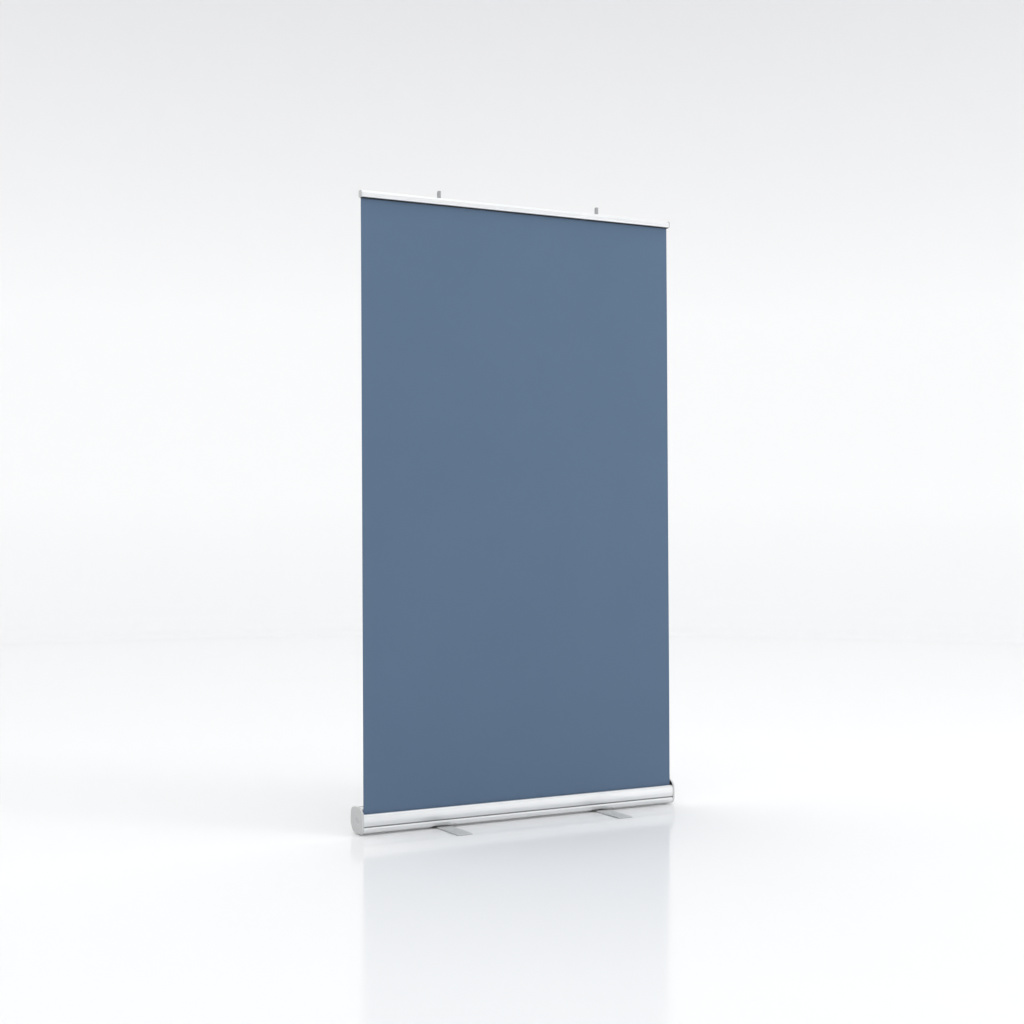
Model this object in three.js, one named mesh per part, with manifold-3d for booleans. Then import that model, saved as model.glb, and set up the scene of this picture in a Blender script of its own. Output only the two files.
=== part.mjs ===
// A roll-up banner stand: a spring roller in an aluminium cassette, a printed film that is pulled up
// out of it, a snap rail that clamps the top of the film, and two telescopic poles that hold the rail.
// Millimetres. +X runs along the cassette, the printed face looks along -Y, +Z is up.
// The origin is on the floor, midway between the two feet and on the line of their pivots.

import * as THREE from "three";
import { mergeVertices } from "three/addons/utils/BufferGeometryUtils.js";
import Module from "manifold-3d";

const wasm = await Module();
wasm.setup();

// ---------------------------------------------------------------- driving dimensions

const FILM_WIDTH = 1200; // the printed film
const FILM_DROP = 2000; // the printed length that stands above the cassette's lip
const FILM_THICKNESS = 0.3;
const FILM_END_GAP = 4; // from the film's edge to each end of the cassette
const TOUCH_GAP = 0.3; // between pieces that rest on each other
const RUNNING_GAP = 0.4; // between pieces that turn or slide in each other

const CASSETTE_DEPTH = 89;
const CASSETTE_TOP_Z = 88;
const CASSETTE_WALL = 1.8;
const LIP_Z = 70; // top of the front lip, where the film comes out
const LIP_GAP = 3.4; // from the film to the lip in front of it
const SLOT_BACK_Z = 80; // lower edge of the curled rim behind the slot
const RIM_GAP = 4.7; // from the film to that rim
const FELT_GAP = 1.4; // from the film to the felt on the rim
const GROOVE_Z = 28.7; // middle of the groove along the front
const GROOVE_HEIGHT = 5;
const GROOVE_DEPTH = 2.8;
const CHANNEL_WIDTH = 7; // along the top
const CHANNEL_DEPTH = 2.4;
const SCREW_BOSS_R = 3.6;
const SCREW_R = 1.6;

const PLATE_THICKNESS = 2.5; // bearing plate at each end
const CAP_FACE = 2.2; // thickness of the cap's outer wall
const CAP_ROOM = 0.9; // between the axle's head and that wall
const CAP_PROUD = 1; // the cap stands this far outside the cassette's outline
const CAP_RIM = 1.6;
const CAP_DISH_R = 11; // round dish around the cap's centre screw

const ROLLER_R = 18;
const ROLLER_WALL = 1.5;
const ROLLER_END_GAP = 5.5; // from the roller tube's end to the bearing plate
const AXLE_R = 4;
const AXLE_HEAD = 2;
const WOUND_FILM = 0.8; // the turns that stay on the roller
const ARBOR_LENGTH = 545;
const SPRING_R = 9;
const SPRING_WIRE_R = 1;
const SPRING_TURNS = 16;

const RAIL_DEPTH = 21;
const RAIL_HEIGHT = 19.5; // from the lower edge to the hinge line
const RAIL_LAP = 7.6; // how far the rail's lower edge laps over the print
const RAIL_WALL = 1.5;
const RAIL_OVERHANG = 2; // rail extrusions past each edge of the film
const RAIL_CAP_THICKNESS = 2.5;
const HINGE_BEAD_R = 1.5;
const FILM_IN_RAIL = 16; // film above the rail's lower edge
const FILM_LEAN = 20.8; // the film runs back by this much from the slot to the rail

const POLE_SPACING = 620;
const POLE_BEHIND_FILM = 14.4; // from the film at the rail to the pole's axis
const UPPER_TUBE_R = 6.5;
const TUBE_WALL = 1.1;
const TUBE_OVERLAP = 60; // length of tube that stays inside the one below
const LOWER_TUBE_TOP_Z = 750;
const MIDDLE_TUBE_TOP_Z = 1380;
const COLLAR_LENGTH = 48;
const COLLAR_WALL = 3.6; // around the tube that the collar grips
const COLLAR_GRIP = 8; // length of tube inside the collar
const COLLET_LENGTH = 24;
const ROLL_CLEARANCE = 1; // between the full roll of film and the sockets
const SOCKET_RISE = 10; // socket above the cassette
const SOCKET_WALL = 1.6;
const HEAD_WIDTH = 10; // the tip of the pole that shows above the rail
const HEAD_DEPTH = 9;
const HEAD_RISE = 30.1;

const FOOT_LENGTH = 372;
const FOOT_WIDTH = 54;
const FOOT_THICKNESS = 3.5;
const FOOT_RAMP = 14; // length of the sloping end
const FOOT_PLAY = 0.2; // above and below the washer
const PAD_THICKNESS = 0.8;
const PAD_LENGTH = 30;
const WASHER_THICKNESS = 0.8;
const WASHER_R = 15;
const NOTCH_WIDTH = 88; // opening in the cassette's lower edge above each foot
const NOTCH_HEIGHT = 5;
const BOLT_HEAD_R = 9;
const BOLT_HEAD_HEIGHT = 1.8;
const BOLT_SHANK_R = 4;
const BLOCK_LENGTH = 44; // pivot block inside the cassette
const BLOCK_DEPTH = 24;
const BLOCK_HEIGHT = 6;

const ROUND = 32; // sides of a large circle
const SMALL_ROUND = 16;

// ---------------------------------------------------------------- places worked out from them

const FRONT_Y = -CASSETTE_DEPTH / 2;
const BACK_Y = CASSETTE_DEPTH / 2;
const FOOT_TOP_Z = PAD_THICKNESS + FOOT_THICKNESS;
const CASSETTE_BASE_Z = FOOT_TOP_Z + WASHER_THICKNESS + 2 * FOOT_PLAY;
const HALF_CASSETTE = FILM_WIDTH / 2 + FILM_END_GAP;
const FILM_SLOT_Y = FRONT_Y + 14.3;
const FILM_RAIL_Y = FILM_SLOT_Y + FILM_LEAN;
const RAIL_Z = LIP_Z + FILM_DROP - RAIL_LAP; // lower edge of the rail
const ROLLER_FILM_R = ROLLER_R + TOUCH_GAP + WOUND_FILM;
const ROLLER_Y = FILM_SLOT_Y + FILM_THICKNESS / 2 + TOUCH_GAP + ROLLER_FILM_R;
const ROLLER_Z = 45;
const HALF_ROLLER = HALF_CASSETTE - ROLLER_END_GAP;
const FULL_ROLL_R = Math.sqrt(ROLLER_FILM_R ** 2 + (FILM_DROP * FILM_THICKNESS) / Math.PI);
const POLE_X = POLE_SPACING / 2;
const POLE_Y = FILM_RAIL_Y + POLE_BEHIND_FILM;
const MIDDLE_TUBE_R = UPPER_TUBE_R + RUNNING_GAP + TUBE_WALL;
const LOWER_TUBE_R = MIDDLE_TUBE_R + RUNNING_GAP + TUBE_WALL;

// ---------------------------------------------------------------- materials

const material = (color, roughness, metalness) =>
  new THREE.MeshStandardMaterial({ color, roughness, metalness });
const ANODISED = material(0xd9dcdb, 0.35, 0.9);
const CAP_GREY = material(0xbfc1c0, 0.45, 0.2);
const BLACK_NYLON = material(0x161719, 0.6, 0);
const GREY_NYLON = material(0x8e9092, 0.5, 0);
const STEEL = material(0x9fa2a3, 0.35, 1);
const SPRING_STEEL = material(0x55585c, 0.4, 1);
const FILM_BLUE = material(0x627790, 0.6, 0);
const FILM_GREY = material(0xb9bcc0, 0.6, 0);
const RUBBER = material(0x1d1d1e, 0.85, 0);
const FELT = material(0x0d0d0e, 0.95, 0);

// ---------------------------------------------------------------- shape helpers

const stand = new THREE.Group();

function add(name, geometry, surface, position = [0, 0, 0]) {
  const mesh = new THREE.Mesh(geometry, surface);
  mesh.name = name;
  mesh.position.set(...position);
  stand.add(mesh);
  return mesh;
}

// A geometry with its faces merged, as a solid that can be joined and cut.
function solid(geometry) {
  const bare = geometry.index ? geometry.toNonIndexed() : geometry.clone();
  bare.deleteAttribute("normal");
  bare.deleteAttribute("uv");
  const merged = mergeVertices(bare, 1e-4);
  return new wasm.Manifold(
    new wasm.Mesh({
      numProp: 3,
      vertProperties: merged.attributes.position.array,
      triVerts: new Uint32Array(merged.index.array),
    }),
  );
}

function geometryOf(body) {
  const mesh = body.getMesh();
  const geometry = new THREE.BufferGeometry();
  geometry.setAttribute("position", new THREE.BufferAttribute(mesh.vertProperties, 3));
  geometry.setIndex(new THREE.BufferAttribute(mesh.triVerts, 1));
  return geometry;
}

const joined = (first, ...others) => others.reduce((sum, next) => sum.add(next), first);
const cut = (first, ...others) => others.reduce((sum, next) => sum.subtract(next), first);

// A section drawn as [y, z] points, run along X from x0 to x1.
function alongX(outline, x0, x1) {
  const shape = new THREE.Shape(outline.map(([y, z]) => new THREE.Vector2(y, z)));
  const run = new THREE.ExtrudeGeometry(shape, { depth: x1 - x0, bevelEnabled: false });
  const yzToWorld = new THREE.Matrix4().makeBasis(
    new THREE.Vector3(0, 1, 0),
    new THREE.Vector3(0, 0, 1),
    new THREE.Vector3(1, 0, 0),
  );
  return run.applyMatrix4(yzToWorld).translate(x0, 0, 0);
}

// A block given by its lowest and highest corner.
function block([x0, y0, z0], [x1, y1, z1]) {
  return new THREE.BoxGeometry(x1 - x0, y1 - y0, z1 - z0).translate(
    (x0 + x1) / 2,
    (y0 + y1) / 2,
    (z0 + z1) / 2,
  );
}

// A turned piece about Z: [radius, z] points that close on themselves or end on the axis.
function turned(profile, sides = ROUND) {
  return new THREE.LatheGeometry(
    profile.map(([r, z]) => new THREE.Vector2(r, z)),
    sides,
  ).rotateX(Math.PI / 2);
}

// The same about X, with [radius, x] points.
const turnedX = (profile, sides = ROUND) => turned(profile, sides).rotateY(Math.PI / 2);

const rod = (r, low, high) => [[0, low], [r, low], [r, high], [0, high]];
const ring = (inner, outer, low, high) => [
  [inner, low],
  [outer, low],
  [outer, high],
  [inner, high],
  [inner, low],
];

const zRod = (r, low, high, sides = ROUND) => turned(rod(r, low, high), sides);
const xRod = (r, low, high, sides = ROUND) => turnedX(rod(r, low, high), sides);

// Points of a smooth curve through the given points, ends included.
function smooth(points, steps) {
  const curve = new THREE.SplineCurve(points.map(([y, z]) => new THREE.Vector2(y, z)));
  return curve.getPoints(steps).map((p) => [p.x, p.y]);
}

// The line at a distance to the left of an open outline, mitred at its corners.
function beside(outline, distance) {
  return outline.map((point, i) => {
    const before = outline[Math.max(i - 1, 0)];
    const after = outline[Math.min(i + 1, outline.length - 1)];
    const a = new THREE.Vector2(point[0] - before[0], point[1] - before[1]);
    const b = new THREE.Vector2(after[0] - point[0], after[1] - point[1]);
    if (i === 0) a.copy(b);
    if (i === outline.length - 1) b.copy(a);
    a.normalize();
    b.normalize();
    const across = new THREE.Vector2(-a.y - b.y, a.x + b.x).normalize();
    const mitre = distance / (across.x * -a.y + across.y * a.x);
    return [point[0] + across.x * mitre, point[1] + across.y * mitre];
  });
}

// ---------------------------------------------------------------- the cassette's outline

// Rounded back, from the underside up to the flat top.
const BACK_CURVE = smooth(
  [
    [BACK_Y - 30.5, CASSETTE_BASE_Z],
    [BACK_Y - 17.5, CASSETTE_BASE_Z + 4.5],
    [BACK_Y - 8, CASSETTE_BASE_Z + 15.5],
    [BACK_Y - 0.9, CASSETTE_BASE_Z + 28],
    [BACK_Y, 47],
    [BACK_Y - 0.9, CASSETTE_TOP_Z - 25],
    [BACK_Y - 4.2, CASSETTE_TOP_Z - 12],
    [BACK_Y - 12, CASSETTE_TOP_Z - 4],
    [BACK_Y - 26.5, CASSETTE_TOP_Z],
  ],
  18,
);

// Front, from the lip down to the underside, without the groove.
const FRONT_UPPER = smooth(
  [
    [FILM_SLOT_Y - LIP_GAP, LIP_Z],
    [FRONT_Y + 6.6, LIP_Z - 1],
    [FRONT_Y + 3.1, LIP_Z - 4.6],
    [FRONT_Y + 1.1, LIP_Z - 11],
    [FRONT_Y, LIP_Z - 24],
    [FRONT_Y + 0.1, GROOVE_Z + GROOVE_HEIGHT / 2],
  ],
  12,
);
const FRONT_LOWER = smooth(
  [
    [FRONT_Y + 0.4, GROOVE_Z - GROOVE_HEIGHT / 2],
    [FRONT_Y + 2.6, CASSETTE_BASE_Z + 10.5],
    [FRONT_Y + 7, CASSETTE_BASE_Z + 4],
    [FRONT_Y + 14, CASSETTE_BASE_Z],
  ],
  7,
);
const GROOVE = [
  [FRONT_Y + GROOVE_DEPTH, GROOVE_Z + GROOVE_HEIGHT / 2 - 1.3],
  [FRONT_Y + GROOVE_DEPTH, GROOVE_Z - GROOVE_HEIGHT / 2 + 1.3],
];

// A shallow channel along the flat top, in line with the poles.
const CHANNEL = [
  [POLE_Y + CHANNEL_WIDTH / 2, CASSETTE_TOP_Z],
  [POLE_Y + CHANNEL_WIDTH / 2, CASSETTE_TOP_Z - CHANNEL_DEPTH],
  [POLE_Y - CHANNEL_WIDTH / 2, CASSETTE_TOP_Z - CHANNEL_DEPTH],
  [POLE_Y - CHANNEL_WIDTH / 2, CASSETTE_TOP_Z],
];

const RIM_Y = FILM_SLOT_Y + RIM_GAP;

// The rim behind the slot, which curls down in front of the flat top.
const RIM = [
  [RIM_Y + 8.5, CASSETTE_TOP_Z],
  [RIM_Y + 4, CASSETTE_TOP_Z - 0.9],
  [RIM_Y + 0.9, CASSETTE_TOP_Z - 3.4],
  [RIM_Y, SLOT_BACK_Z],
];

// The open outline of the extrusion, anticlockwise from the lip round to the rim.
const CASSETTE_OUTLINE = [
  ...FRONT_UPPER,
  ...GROOVE,
  ...FRONT_LOWER,
  ...BACK_CURVE,
  ...CHANNEL,
  ...RIM,
];

// The ends close the slot: their front sweeps from the flat top down past the lip.
const END_OUTLINE = [
  ...smooth(
    [
      [RIM_Y + 8.5, CASSETTE_TOP_Z],
      [RIM_Y + 1.5, CASSETTE_TOP_Z - 1.4],
      [FRONT_Y + 13.5, CASSETTE_TOP_Z - 5.5],
      [FRONT_Y + 7.5, CASSETTE_TOP_Z - 10.5],
      [FRONT_Y + 3.5, LIP_Z + 1],
      [FRONT_Y + 1, LIP_Z - 9],
      [FRONT_Y, LIP_Z - 24],
      [FRONT_Y + 0.4, GROOVE_Z - GROOVE_HEIGHT / 2],
    ],
    16,
  ),
  ...FRONT_LOWER.slice(1),
  ...BACK_CURVE,
];

// The end outline grown by a distance, or shrunk by a negative one.
function endOutline(grow) {
  const count = END_OUTLINE.length;
  const looped = [END_OUTLINE[count - 1], ...END_OUTLINE, END_OUTLINE[0]];
  return beside(looped, -grow).slice(1, count + 1);
}

// ---------------------------------------------------------------- cassette

const SCREW_PLACES = [
  [FRONT_Y + 6.2, LIP_Z - 10],
  [BACK_Y - 8.6, CASSETTE_TOP_Z - 13.4],
  [BACK_Y - 23.5, CASSETTE_BASE_Z + 7],
];

function cassette() {
  const wall = [...CASSETTE_OUTLINE, ...beside(CASSETTE_OUTLINE, CASSETTE_WALL).reverse()];
  const bosses = SCREW_PLACES.map(([y, z]) =>
    solid(xRod(SCREW_BOSS_R, -HALF_CASSETTE, HALF_CASSETTE, SMALL_ROUND).translate(0, y, z)),
  );
  const screwHoles = SCREW_PLACES.map(([y, z]) =>
    solid(xRod(SCREW_R + TOUCH_GAP, -HALF_CASSETTE - 1, HALF_CASSETTE + 1, SMALL_ROUND)
      .translate(0, y, z)),
  );
  const cuts = [-1, 1].flatMap((side) => {
    const x = side * POLE_X;
    const notchTop = CASSETTE_BASE_Z + NOTCH_HEIGHT;
    const notch = (y0, y1) =>
      solid(block([x - NOTCH_WIDTH / 2, y0, 0], [x + NOTCH_WIDTH / 2, y1, notchTop]));
    const hole = (r, y, low, high) => solid(zRod(r, low, high).translate(x, y, 0));
    return [
      notch(FRONT_Y - 5, -BLOCK_DEPTH / 2 - 8),
      notch(BLOCK_DEPTH / 2 + 3, BACK_Y + 5),
      hole(
        LOWER_TUBE_R + SOCKET_WALL + 2 * TOUCH_GAP,
        POLE_Y,
        CASSETTE_TOP_Z - CHANNEL_DEPTH - CASSETTE_WALL - 1,
        CASSETTE_TOP_Z + 1,
      ),
      hole(BOLT_SHANK_R + TOUCH_GAP, 0, 0, CASSETTE_BASE_Z + 5),
    ];
  });
  const shell = joined(solid(alongX(wall, -HALF_CASSETTE, HALF_CASSETTE)), ...bosses);
  return geometryOf(cut(shell, ...screwHoles, ...cuts));
}

add("cassette_body", cassette(), ANODISED);

// A felt strip on the rim keeps dust off the film.
add(
  "slot_felt",
  block(
    [-HALF_CASSETTE + 2, FILM_SLOT_Y + FELT_GAP, SLOT_BACK_Z - 5.5],
    [HALF_CASSETTE - 2, RIM_Y - TOUCH_GAP, SLOT_BACK_Z + 1],
  ),
  FELT,
);

// ---------------------------------------------------------------- ends of the cassette

const PLATE_IN_X = HALF_CASSETTE + TOUCH_GAP;
const PLATE_OUT_X = PLATE_IN_X + PLATE_THICKNESS;
const HEAD_LIFT = 0.1; // of a screw's or axle's head off the face under it
const CAP_HOLLOW_X = PLATE_OUT_X + HEAD_LIFT + AXLE_HEAD + CAP_ROOM;
const CAP_OUT_X = CAP_HOLLOW_X + CAP_FACE;
const AXLE_HEAD_R = 6.5;
const PLATE_SCREW_LENGTH = 14;
const PLATE_SCREW_HEAD = 1.6;
const CAP_EDGE = 2; // the rounded edge of the cap's outer face
const CAP_STEP = CAP_EDGE * 0.35;
const CAP_DISH = 1; // depth of the dish
const CAP_SCREW_R = 5;
const CAP_SCREW_HEAD = 1.4;

// A piece made for the +X end, turned over to the -X end when the side is negative.
function mirrored(geometry, side) {
  if (side > 0) return geometry;
  const turnedOver = geometry.index ? geometry.toNonIndexed() : geometry.clone();
  turnedOver.applyMatrix4(new THREE.Matrix4().makeScale(-1, 1, 1));
  const p = turnedOver.attributes.position.array;
  for (let i = 0; i < p.length; i += 9) {
    for (let k = 0; k < 3; k += 1) {
      [p[i + 3 + k], p[i + 6 + k]] = [p[i + 6 + k], p[i + 3 + k]];
    }
  }
  return turnedOver;
}

const atRoller = (geometry) => geometry.translate(0, ROLLER_Y, ROLLER_Z);

function bearingPlate() {
  const plate = solid(alongX(endOutline(-CAP_RIM + CAP_PROUD - TOUCH_GAP), PLATE_IN_X, PLATE_OUT_X));
  const axleHole = solid(atRoller(xRod(AXLE_R + TOUCH_GAP, PLATE_IN_X - 1, PLATE_OUT_X + 1)));
  const screwHoles = SCREW_PLACES.map(([y, z]) =>
    solid(xRod(SCREW_R + TOUCH_GAP, PLATE_IN_X - 1, PLATE_OUT_X + 1, SMALL_ROUND).translate(0, y, z)),
  );
  return geometryOf(cut(plate, axleHole, ...screwHoles));
}

function plateScrew() {
  const headIn = PLATE_OUT_X + HEAD_LIFT;
  const profile = [
    [0, headIn - PLATE_SCREW_LENGTH],
    [SCREW_R, headIn - PLATE_SCREW_LENGTH],
    [SCREW_R, headIn],
    [SCREW_R * 2, headIn],
    [SCREW_R * 2, headIn + PLATE_SCREW_HEAD],
    [0, headIn + PLATE_SCREW_HEAD],
  ];
  return turnedX(profile, SMALL_ROUND);
}

// The cap is a dished cover with a hollow back that clears the plate, the screws and the axle's head.
function endCap() {
  const body = joined(
    solid(alongX(endOutline(CAP_PROUD), PLATE_IN_X, CAP_OUT_X - CAP_EDGE)),
    solid(alongX(endOutline(CAP_PROUD - CAP_STEP), CAP_OUT_X - CAP_EDGE, CAP_OUT_X - CAP_STEP)),
    solid(alongX(endOutline(CAP_PROUD - CAP_EDGE), CAP_OUT_X - CAP_STEP, CAP_OUT_X)),
  );
  const hollow = solid(alongX(endOutline(CAP_PROUD - CAP_RIM), PLATE_IN_X - 1, CAP_HOLLOW_X));
  const dish = solid(atRoller(xRod(CAP_DISH_R, CAP_OUT_X - CAP_DISH, CAP_OUT_X + 1)));
  const screwHole = solid(atRoller(xRod(SCREW_R + TOUCH_GAP, CAP_HOLLOW_X - 1, CAP_OUT_X, SMALL_ROUND)));
  return geometryOf(cut(body, hollow, dish, screwHole));
}

// The screw that holds the cap ends in the axle.
function capScrew() {
  const headIn = CAP_OUT_X - CAP_DISH + HEAD_LIFT;
  const profile = [
    [0, headIn - 9],
    [SCREW_R, headIn - 9],
    [SCREW_R, headIn],
    [CAP_SCREW_R, headIn],
    [CAP_SCREW_R, headIn + CAP_SCREW_HEAD * 0.5],
    [CAP_SCREW_R * 0.7, headIn + CAP_SCREW_HEAD],
    [0, headIn + CAP_SCREW_HEAD],
  ];
  return turnedX(profile, SMALL_ROUND);
}

// An axle or arbor: a rod with a head outside the plate and a threaded hole for the cap's screw.
function axle(innerX) {
  const headIn = PLATE_OUT_X + HEAD_LIFT;
  const body = joined(
    solid(xRod(AXLE_R, innerX, headIn + AXLE_HEAD, SMALL_ROUND * 1.5)),
    solid(xRod(AXLE_HEAD_R, headIn, headIn + AXLE_HEAD, SMALL_ROUND * 1.5)),
  );
  const thread = solid(xRod(SCREW_R + 0.1, headIn - 8, headIn + AXLE_HEAD + 1, SMALL_ROUND));
  return geometryOf(cut(body, thread));
}

for (const [name, side] of [["left", -1], ["right", 1]]) {
  add(`bearing_plate_${name}`, mirrored(bearingPlate(), side), BLACK_NYLON);
  add(`end_cap_${name}`, mirrored(endCap(), side), CAP_GREY);
  add(`cap_screw_${name}`, mirrored(capScrew(), side), STEEL, [0, ROLLER_Y, ROLLER_Z]);
  SCREW_PLACES.forEach(([y, z], i) => {
    add(`plate_screw_${name}_${i + 1}`, mirrored(plateScrew(), side), STEEL, [0, y, z]);
  });
}

// ---------------------------------------------------------------- roller, its spring and its film

const PLUG_LENGTH = 20;
const PLUG_FLANGE = 1.5;
const PLUG_R = ROLLER_R - ROLLER_WALL - TOUCH_GAP;
const ARBOR_IN_X = HALF_CASSETTE - ARBOR_LENGTH;
const ANCHOR_LENGTH = 18;
const ARBOR_STOP_X = HALF_CASSETTE - 45; // the collar on the arbor that holds the spring's still end
const ARBOR_STOP_LENGTH = 8;
const ARBOR_STOP_R = SPRING_R + SPRING_WIRE_R;
const rollerPlace = [0, ROLLER_Y, ROLLER_Z];

add(
  "roller_tube",
  turnedX(ring(ROLLER_R - ROLLER_WALL, ROLLER_R, -HALF_ROLLER, HALF_ROLLER)),
  ANODISED,
  rollerPlace,
);

function rollerPlug() {
  const bore = AXLE_R + RUNNING_GAP;
  return turnedX([
    [bore, HALF_ROLLER - PLUG_LENGTH],
    [PLUG_R, HALF_ROLLER - PLUG_LENGTH],
    [PLUG_R, HALF_ROLLER + 0.1],
    [ROLLER_R, HALF_ROLLER + 0.1],
    [ROLLER_R, HALF_ROLLER + 0.1 + PLUG_FLANGE],
    [bore, HALF_ROLLER + 0.1 + PLUG_FLANGE],
    [bore, HALF_ROLLER - PLUG_LENGTH],
  ]);
}

add("roller_plug_left", mirrored(rollerPlug(), -1), BLACK_NYLON, rollerPlace);
add("roller_plug_right", rollerPlug(), BLACK_NYLON, rollerPlace);
add("idler_axle", mirrored(axle(HALF_ROLLER - PLUG_LENGTH - 6), -1), STEEL, rollerPlace);
add("spring_arbor", axle(ARBOR_IN_X), STEEL, rollerPlace);

add(
  "spring_anchor",
  turnedX(ring(AXLE_R + RUNNING_GAP, PLUG_R, ARBOR_IN_X + 4, ARBOR_IN_X + 4 + ANCHOR_LENGTH)),
  BLACK_NYLON,
  rollerPlace,
);
add(
  "arbor_stop",
  turnedX(ring(AXLE_R + 0.15, ARBOR_STOP_R, ARBOR_STOP_X, ARBOR_STOP_X + ARBOR_STOP_LENGTH)),
  STEEL,
  rollerPlace,
);

class Coil extends THREE.Curve {
  constructor(radius, low, high, turns) {
    super();
    Object.assign(this, { radius, low, high, turns });
  }
  getPoint(t, target = new THREE.Vector3()) {
    const angle = 2 * Math.PI * this.turns * t;
    const x = this.low + (this.high - this.low) * t;
    return target.set(x, this.radius * Math.cos(angle), this.radius * Math.sin(angle));
  }
}

function wireSection(r, sides) {
  const corners = Array.from({ length: sides }, (_, i) => {
    const angle = (2 * Math.PI * i) / sides;
    return new THREE.Vector2(r * Math.cos(angle), r * Math.sin(angle));
  });
  return new THREE.Shape(corners);
}

const springLow = ARBOR_IN_X + 4 + ANCHOR_LENGTH + SPRING_WIRE_R + TOUCH_GAP;
const springHigh = ARBOR_STOP_X - SPRING_WIRE_R - TOUCH_GAP;
add(
  "torsion_spring",
  new THREE.ExtrudeGeometry(wireSection(SPRING_WIRE_R, 6), {
    extrudePath: new Coil(SPRING_R - SPRING_WIRE_R, springLow, springHigh, SPRING_TURNS),
    steps: SPRING_TURNS * 10,
    bevelEnabled: false,
  }),
  SPRING_STEEL,
  rollerPlace,
);

add(
  "wound_film",
  turnedX(ring(ROLLER_R + TOUCH_GAP, ROLLER_FILM_R, -FILM_WIDTH / 2 + 4, FILM_WIDTH / 2 - 4)),
  FILM_GREY,
  rollerPlace,
);

// The film rises straight to the slot, then leans back to the rail.
function film() {
  const half = FILM_THICKNESS / 2;
  const points = [
    [FILM_SLOT_Y, ROLLER_Z],
    [FILM_SLOT_Y, LIP_Z],
    [FILM_RAIL_Y, RAIL_Z],
    [FILM_RAIL_Y, RAIL_Z + FILM_IN_RAIL],
  ];
  const front = points.map(([y, z]) => [y - half, z]);
  const back = points.map(([y, z]) => [y + half, z]).reverse();
  return alongX([...front, ...back], -FILM_WIDTH / 2, FILM_WIDTH / 2);
}

add("banner_film", film(), FILM_BLUE);

// ---------------------------------------------------------------- snap rail

const HALF_RAIL = FILM_WIDTH / 2 + RAIL_OVERHANG;
const RAIL_BACK_Y = FILM_RAIL_Y + 6.2;
const RAIL_FRONT_Y = RAIL_BACK_Y - RAIL_DEPTH;
const HINGE_Y = RAIL_BACK_Y - 13;
const HINGE_Z = RAIL_Z + RAIL_HEIGHT;
const CLAW_IN_R = HINGE_BEAD_R + RUNNING_GAP;
const CLAW_OUT_R = CLAW_IN_R + 1.2;
const BACKING_Y = FILM_RAIL_Y + FILM_THICKNESS / 2 + TOUCH_GAP;

// Points of an arc about the hinge line, in degrees from +Y towards +Z.
function hingeArc(radius, from, to, steps) {
  return Array.from({ length: steps + 1 }, (_, i) => {
    const angle = THREE.MathUtils.degToRad(from + ((to - from) * i) / steps);
    return [HINGE_Y + radius * Math.cos(angle), HINGE_Z + radius * Math.sin(angle)];
  });
}

// The back of the rail: a wall behind the film, a top web that ends in the hinge bead, and a rear
// wall. The pole's hook goes up between the two walls.
function railBack() {
  const top = HINGE_Z + RAIL_WALL / 2;
  const webUnder = HINGE_Z - RAIL_WALL / 2;
  const outline = [
    [RAIL_BACK_Y, RAIL_Z],
    [RAIL_BACK_Y, top],
    ...hingeArc(HINGE_BEAD_R, 30, 330, 10),
    [BACKING_Y, webUnder],
    [BACKING_Y, RAIL_Z],
    [BACKING_Y + RAIL_WALL, RAIL_Z],
    [BACKING_Y + RAIL_WALL, webUnder],
    [RAIL_BACK_Y - RAIL_WALL, webUnder],
    [RAIL_BACK_Y - RAIL_WALL, RAIL_Z],
  ];
  return alongX(outline, -HALF_RAIL, HALF_RAIL);
}

// The jaw: a claw on the bead, a rounded front and a lip that presses on the film.
function railJaw() {
  const lipY = FILM_RAIL_Y - FILM_THICKNESS / 2 - RUNNING_GAP;
  const wall = RAIL_WALL;
  const outline = [
    ...hingeArc(CLAW_OUT_R, 112, 180, 5),
    [RAIL_FRONT_Y + 1.2, HINGE_Z - 2.2],
    [RAIL_FRONT_Y, HINGE_Z - 5],
    [RAIL_FRONT_Y, RAIL_Z + 4.5],
    [RAIL_FRONT_Y + 1.3, RAIL_Z + 1.3],
    [RAIL_FRONT_Y + 4.5, RAIL_Z],
    [lipY, RAIL_Z],
    [lipY, RAIL_Z + wall],
    [RAIL_FRONT_Y + 5, RAIL_Z + wall],
    [RAIL_FRONT_Y + 2.3, RAIL_Z + wall + 1],
    [RAIL_FRONT_Y + wall, RAIL_Z + 5],
    [RAIL_FRONT_Y + wall, HINGE_Z - 5.4],
    [RAIL_FRONT_Y + wall + 0.9, HINGE_Z - 3.8],
    ...hingeArc(CLAW_OUT_R, 225, 288, 5),
    ...hingeArc(CLAW_IN_R, 288, 112, 12),
  ];
  return alongX(outline.reverse(), -HALF_RAIL + TOUCH_GAP, HALF_RAIL - TOUCH_GAP);
}

function railCap() {
  const low = RAIL_Z - 0.5;
  const high = HINGE_Z + CLAW_OUT_R + 0.5;
  const outline = [
    [RAIL_BACK_Y + 0.5, low],
    [RAIL_BACK_Y + 0.5, high - 2.5],
    [RAIL_BACK_Y - 1.5, high - 0.5],
    [HINGE_Y, high],
    [RAIL_FRONT_Y + 2.5, high - 2.5],
    [RAIL_FRONT_Y - 0.5, HINGE_Z - 5],
    [RAIL_FRONT_Y - 0.5, RAIL_Z + 4],
    [RAIL_FRONT_Y + 4, low],
  ];
  return alongX(outline, HALF_RAIL + TOUCH_GAP, HALF_RAIL + TOUCH_GAP + RAIL_CAP_THICKNESS);
}

add("rail_back", railBack(), ANODISED);
add("rail_jaw", railJaw(), ANODISED);
add("rail_cap_left", mirrored(railCap(), -1), CAP_GREY);
add("rail_cap_right", railCap(), CAP_GREY);

// ---------------------------------------------------------------- telescopic poles

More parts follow.
